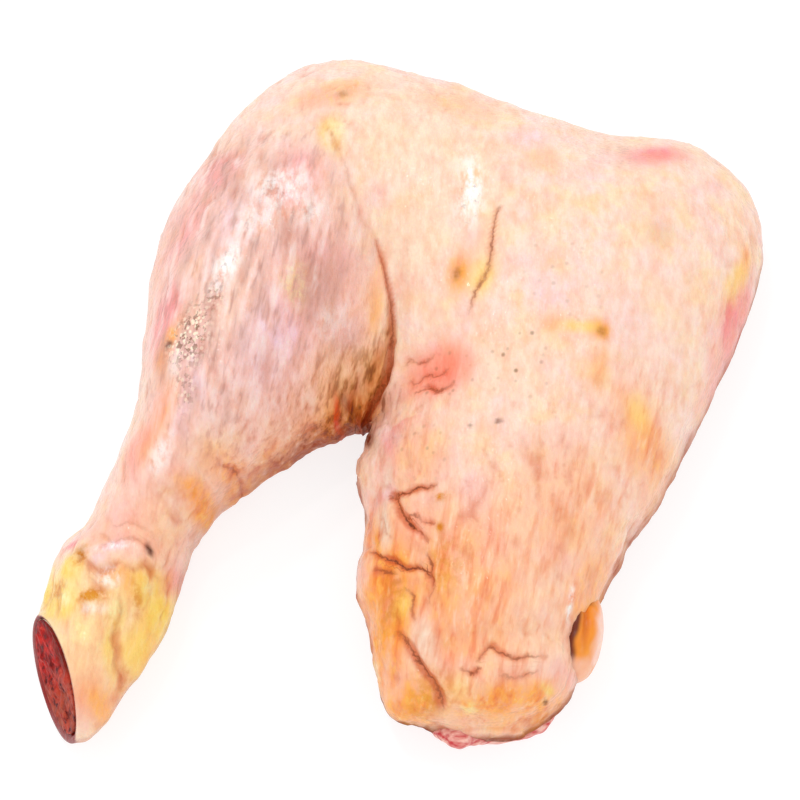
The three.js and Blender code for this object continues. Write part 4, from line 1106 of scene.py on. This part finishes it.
# the face's rings are the rim shrunk to its middle, dished a little and pitted by noise
face = rim_ring.mean(axis=0) + (rim_ring - rim_ring.mean(axis=0)) * face_share
face = face + CUT_FACING * (0.5 * (1 - face_share**4) - 0.9 * (1 - face_share**2))
face_pits = 0.5 * lumps(face, 2.2, 31) + 0.35 * lumps(face, 1.1, 32)
face = face + CUT_FACING * (face_pits * smooth_step(1.0, 0.8, face_share[..., 0]))[..., None]
bone_points = np.concatenate([face, rim_ring[None], shaft])
shin_bone = closed_mesh("shin_bone_piece", bone_points)

low_end = smooth_step(*LOW_END, bone_points[..., 1])
paint_zone(shin_bone, "low_end", low_end)
up_the_face = (bone_points[..., 2] - rim_ring[:, 2].mean()) / (np.ptp(rim_ring[:, 2]) / 2)
in_shade = smooth_step(*UPPER_SHADE, up_the_face) * smooth_step(0.8, 0.3, low_end)
paint_zone(shin_bone, "in_shade", in_shade)
on_face = np.concatenate([np.ones(FACE_RINGS + 1), smooth_step(3, 0, np.arange(SHAFT_RINGS))])[:, None]
paint_zone(shin_bone, "on_face", np.broadcast_to(on_face, bone_points.shape[:2]))

# %% [markdown]
# Red marrow is almost maroon in its hollows and bright red where blood has dried on it, with short crimson
# streaks. The grain of spongy bone is about 1.3 mm, and its small pits lie 1.2 mm apart. A chopped face is
# rough and damp, so its gloss is low. It is browner at its lower end, and darkest at its upper edge, in the
# skin's shade. Away from the face the bone is ivory.

# %% Sawn bone with red marrow
marrow_bone, tree = new_material("sawn_bone_with_marrow")
coordinates = add_node(tree, "TexCoord").outputs["Object"]
slant = dict(Rotation=(0.0, 0.0, 0.5), Scale=(1.0, 1.0, 0.6))
slanted = add_node(tree, "Mapping", Vector=coordinates, **slant).outputs[0]
pits = add_node(tree, "TexVoronoi", Vector=coordinates, Scale=1 / (1.2 * MM)).outputs["Distance"]
BONE_GRAINS = dict(clots=3.4, spongy=1.3, streaks=0.9)  # in mm
bone_pattern = {}
for name, size in BONE_GRAINS.items():
    noise = add_node(tree, "TexNoise", Vector=slanted, Scale=1 / (size * MM), Detail=4.0, Roughness=0.6)
    bone_pattern[name] = noise.outputs[0]

# zone or None for everywhere, pattern, its low and high value, how much there, colour
MARROW_LAYERS = [
    (None, "clots", 0.40, 0.60, 0.0, 1.0, "#C41A12"),
    (None, "spongy", 0.50, 0.36, 0.0, 0.95, "#4A0406"),
    (None, "spongy", 0.58, 0.70, 0.0, 0.7, "#E8503C"),
    (None, "streaks", 0.60, 0.70, 0.0, 0.6, "#CC2C44"),
    ("low_end", "spongy", 0.35, 0.55, 0.0, 0.55, "#A8583C"),
    ("in_shade", "spongy", 0.35, 0.55, 0.0, 0.8, "#5A1C0C"),
]
marrow = linear("#8C0C0C")
for zone_name, name, *ramp, paint in MARROW_LAYERS:
    marrow = painted(tree, marrow, bone_pattern[name], ramp, paint, zone_name)
face_mask = add_node(tree, "Attribute", {"attribute_name": "on_face"}).outputs["Fac"]
ivory = linear("#EBD9BC")
bone_colour = add_node(tree, "Mix", {"data_type": "RGBA"}, _0=face_mask, _6=ivory, _7=marrow).outputs[2]
bump = add_node(tree, "Bump", Height=pits, Strength=0.4, Distance=0.0006).outputs[0]
dress(
    shin_bone, marrow_bone, Base_Color=bone_colour, Roughness=0.5, IOR=1.40, Specular_IOR_Level=0.15,
    Subsurface_Weight=0.1, Subsurface_Radius=(1.0, 0.3, 0.2), Subsurface_Scale=0.0015, Normal=bump,
)
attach(shin_bone, "root")
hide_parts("shin_bone")
print("bone ready, face about", round(2 * BONE_ROWS[0][3], 1), "by", round(2 * BONE_ROWS[0][4], 1), "mm")

# %% [markdown]
# ## The lobe of fat at the thigh's rear corner
#
# Behind the skin's edge a lobe of fat squeezes out. It is a stretched ball, but a real one has a waist, a
# few furrows and a thin pink rim of skin. The ball is worked out over two angles and pushed in and out by
# noise.

# %% The fat lobe
LOBE = dict(x=33.2, y=-49.4, z=11, half_width=5.4, half_length=9.6, half_height=9.0, turn=-10)
LOBE_POINTS = 120
LOBE_RINGS = 80
lobe_turn = np.linspace(0, 2 * np.pi, LOBE_POINTS, endpoint=False)[None, :]
lobe_climb = np.linspace(-np.pi / 2, np.pi / 2, LOBE_RINGS + 2)[1:-1][:, None]
# a point of the ball lies at half width * cos(climb) * cos(turn), half length * cos(climb) * sin(turn) and
# half height * sin(climb) from the middle, and the two level ones are then turned
across = LOBE["half_width"] * np.cos(lobe_climb) * np.cos(lobe_turn)
lengthways = LOBE["half_length"] * np.cos(lobe_climb) * np.sin(lobe_turn)
c, s = np.cos(np.radians(LOBE["turn"])), np.sin(np.radians(LOBE["turn"]))
lobe_z = np.broadcast_to(LOBE["z"] + LOBE["half_height"] * np.sin(lobe_climb), across.shape)
lobe_x = LOBE["x"] + across * c - lengthways * s
lobe_y = LOBE["y"] + across * s + lengthways * c
lobe = np.stack([lobe_x, lobe_y, lobe_z], axis=-1)
lobe_out = unit(lobe - [LOBE["x"], LOBE["y"], LOBE["z"]])
across_share, length_share = across / LOBE["half_width"], lengthways / LOBE["half_length"]
waist_line = across_share - 0.28 + 0.2 * length_share
waist = np.exp(-((waist_line / 0.13) ** 2)) * smooth_step(-0.8, 0.2, length_share)
lobe = lobe + lobe_out * (0.5 * lumps(lobe, 4.5, 41) + 0.22 * lumps(lobe, 1.8, 42) - 0.8 * waist)[..., None]
LOWEST = dict(lobe=1.0, meat=0.4)  # both stay this far above the table, in mm
lobe[..., 2] = np.maximum(lobe[..., 2], LOWEST["lobe"])
fat_lobe = closed_mesh("fat_lobe", lobe)
# painted shade in the crease beside the skin, and darker towards the lobe's far end
beside_skin = smooth_step(0.16, -0.08, across_share + 0.1 * lumps(lobe, 2.5, 43))
at_top = smooth_step(0.3, 0.7, length_share + 0.3 * lumps(lobe, 2.0, 44))
at_top = at_top * smooth_step(0.6, 0.2, across_share)
paint_zone(fat_lobe, "furrow_shade", np.maximum(beside_skin, 0.8 * at_top))
paint_zone(fat_lobe, "waist", waist)
rim = smooth_step(0.55, 0.90, across_share + 0.15 * lumps(lobe, 3.0, 45)) * smooth_step(-0.5, 0.1, lobe_climb)
low_end = smooth_step(-0.4, -0.85, length_share + 0.2 * lumps(lobe, 3.0, 46))
paint_zone(fat_lobe, "rim", np.maximum(rim, 0.6 * low_end))

# %% [markdown]
# Chicken fat is soft and greasy, torn and not cut here. It is a warm orange-yellow where it is thick, and
# paler at the rim and the low end, where skin lies over it. Shade is painted nearly brown in the crease
# beside the skin, and the lobe is painted darker towards its far end. Its lobules of about 1.8 mm show as
# small bumps, and its grease, with fat's IOR of 1.46, as a soft gloss.

# %% Soft yellow fat
soft_fat, tree = new_material("soft_chicken_fat")
coordinates = add_node(tree, "TexCoord").outputs["Object"]
cloud = add_node(tree, "TexNoise", Vector=coordinates, Scale=1 / (4 * MM), Detail=3.0).outputs[0]
thick_fat, thin_fat = linear("#E07404"), linear("#FFA836")
fat_colour = add_node(tree, "Mix", {"data_type": "RGBA"}, _0=cloud, _6=thick_fat, _7=thin_fat).outputs[2]
# the furrow zone is painted shade, nearly brown
for name, paint in dict(waist="#D8721C", furrow_shade="#6E2606", rim="#FAC8B4").items():
    mask = add_node(tree, "Attribute", {"attribute_name": name}).outputs["Fac"]
    coat = dict(_0=mask, _6=fat_colour, _7=linear(paint))
    fat_colour = add_node(tree, "Mix", {"data_type": "RGBA"}, **coat).outputs[2]
lobules = add_node(tree, "TexVoronoi", Vector=coordinates, Scale=1 / (1.8 * MM)).outputs["Distance"]
bump = add_node(tree, "Bump", Height=lobules, Strength=0.35, Distance=0.0006).outputs[0]
dress(
    fat_lobe, soft_fat, Base_Color=fat_colour, Roughness=0.4, IOR=1.46, Specular_IOR_Level=0.3,
    Subsurface_Weight=0.2, Subsurface_Radius=(1.0, 0.55, 0.2), Subsurface_Scale=0.003,
    Coat_Weight=0.2, Coat_Roughness=0.15, Normal=bump,
)
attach(fat_lobe, "root")
print("fat lobe ready")

# %% [markdown]
# ## Bare meat at the thigh's cut end
#
# Under the skin's lower edge a strip of thigh meat shows, with a knob of it where the cut left a flap. It
# is a soft roll along a path, thick at the knob and thin at both ends, with the fine fibres of muscle along
# it.

# %% The roll of meat
# x, y, z, radius
MEAT_ROWS = [
    [2.0, -63.4, 4.0, 1.0],
    [5.4, -66.2, 5.4, 1.4],
    [8.2, -68.3, 8.2, 2.1],
    [10.4, -69.0, 9.6, 2.5],
    [12.8, -68.5, 8.0, 2.2],
    [16.4, -67.5, 4.8, 2.3],
    [21.0, -67.0, 3.8, 2.3],
    [25.4, -65.4, 3.6, 2.3],
    [29.6, -62.2, 3.6, 1.4],
]
MEAT_RINGS = 150
MEAT_POINTS = 56
meat_places = np.linspace(0, len(MEAT_ROWS) - 1, MEAT_RINGS)
meat_row = along(MEAT_ROWS, meat_places)
meat_way = unit(np.gradient(meat_row[:, :3], axis=0))
meat_side = unit(np.cross(meat_way, [0, 0, 1.0]))
meat_up = np.cross(meat_side, meat_way)
meat_turn = np.linspace(0, 2 * np.pi, MEAT_POINTS, endpoint=False)[None, :, None]
ends = np.sqrt(np.clip(np.sin(np.pi * np.linspace(0.02, 0.98, MEAT_RINGS)) * 3.0, 0, 1))
radius = (meat_row[:, 3] * ends)[:, None, None]
# a ring is the path's point plus the radius times cos(turn) to the side and sin(turn) upwards
meat_round = np.cos(meat_turn) * meat_side[:, None] + np.sin(meat_turn) * meat_up[:, None]
meat = meat_row[:, None, :3] + radius * meat_round
meat_out = unit(meat - meat_row[:, None, :3])
meat = meat + meat_out * (0.35 * lumps(meat, 3.5, 51) + 0.2 * lumps(meat, 1.5, 52))[..., None]
meat[..., 2] = np.maximum(meat[..., 2], LOWEST["meat"])
thigh_meat = closed_mesh("thigh_meat", meat)

# %% [markdown]
# Raw thigh meat is red muscle, cut with a knife, with pale fat and tissue between. Single fibres are too fine
# to show, so the pattern is drawn as coarse as their bundles, 1.2 mm thick and about three times as long.
# The cut leaves them damp, so they have a soft gloss.

# %% Raw thigh meat
raw_meat, tree = new_material("raw_thigh_meat")
coordinates = add_node(tree, "TexCoord").outputs["Object"]
fibre_axes = add_node(tree, "Mapping", Vector=coordinates, Scale=(0.3, 1.0, 1.0)).outputs[0]
fibres = add_node(tree, "TexNoise", Vector=fibre_axes, Scale=1 / (1.2 * MM), Detail=3.0).outputs[0]
fat_share = add_node(tree, "MapRange", _0=fibres, _1=0.36, _2=0.66).outputs[0]
red_fibre, pale_tissue = linear("#CC363C"), linear("#FCC8B8")
meat_mix = dict(_0=fat_share, _6=red_fibre, _7=pale_tissue)
meat_colour = add_node(tree, "Mix", {"data_type": "RGBA"}, **meat_mix).outputs[2]
bump = add_node(tree, "Bump", Height=fibres, Strength=0.5, Distance=0.0006).outputs[0]
dress(
    thigh_meat, raw_meat, Base_Color=meat_colour, Roughness=0.4, IOR=1.40, Specular_IOR_Level=0.25,
    Subsurface_Weight=0.2, Subsurface_Radius=(1.0, 0.35, 0.25), Subsurface_Scale=0.002,
    Coat_Weight=0.2, Coat_Roughness=0.15, Normal=bump,
)
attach(thigh_meat, "root")
print("meat ready")

# %% [markdown]
# ## The floor
#
# Food like this is photographed on a light table: a matt sheet of opal glass that is lit from below, so that
# it turns white and the shadow under the food stays thin. White surroundings do the rest.

# %% A pale table that glows a little
table_mesh = bpy.data.meshes.new("light_table")
reach = 3.0  # metres from the middle to each side
corners = [(-reach, -reach, 0), (reach, -reach, 0), (reach, reach, 0), (-reach, reach, 0)]
table_mesh.from_pydata(corners, [], [(0, 1, 2, 3)])
table = bpy.data.objects.new("light_table", table_mesh)
bpy.context.scene.collection.objects.link(table)
opal, tree = new_material("opal_glass")
dress(
    table, opal, Base_Color=linear("#8C8C8C"), Roughness=0.8,
    Emission_Color=(1.0, 1.0, 1.0, 1.0), Emission_Strength=0.78,
)

world = bpy.data.worlds.new("white_studio")
bpy.context.scene.world = world
world.use_nodes = True
background = world.node_tree.nodes["Background"]
background.inputs["Color"].default_value = (1.0, 1.0, 1.0, 1.0)
background.inputs["Strength"].default_value = 0.98
bpy.context.scene.view_settings.view_transform = "Standard"
print("table and white surroundings ready")

# %% [markdown]
# ## Lamps and the camera
#
# Two small soft lamps above and behind the leg give the wet highlights on the calf and on the thigh. The
# camera looks down steeply, through a long lens that flattens perspective.


# %% Soft lamps and the camera
LAMP_DISTANCE = 0.9  # metres


def soft_lamp(name, direction, size, watts):
    """A square lamp of this size in metres, in this direction from the leg and turned towards it."""
    lamp = bpy.data.objects.new(name, bpy.data.lights.new(name, "AREA"))
    lamp.data.size = size
    lamp.data.energy = watts
    lamp.location = Vector(direction).normalized() * LAMP_DISTANCE
    lamp.rotation_euler = (-Vector(direction)).to_track_quat("-Z", "Y").to_euler()
    bpy.context.scene.collection.objects.link(lamp)


soft_lamp("calf_lamp", (-0.26, 0.47, 0.85), 0.06, 0.9)
soft_lamp("thigh_lamp", (-0.16, 0.28, 0.94), 0.05, 0.5)

ELEVATION = np.radians(72)
DISTANCE = 0.533  # metres
target = Vector((-0.0010, -0.00305, 0.015))
back = Vector((0, -np.cos(ELEVATION), np.sin(ELEVATION)))
camera = bpy.data.objects.new("camera", bpy.data.cameras.new("camera"))
camera.data.lens = 120
camera.data.sensor_width = 36
camera.location = target + back * DISTANCE
camera.rotation_euler = (-back).to_track_quat("-Z", "Y").to_euler()
bpy.context.scene.collection.objects.link(camera)
bpy.context.scene.camera = camera
print("camera at, in mm:", [round(v / MM, 1) for v in camera.location])
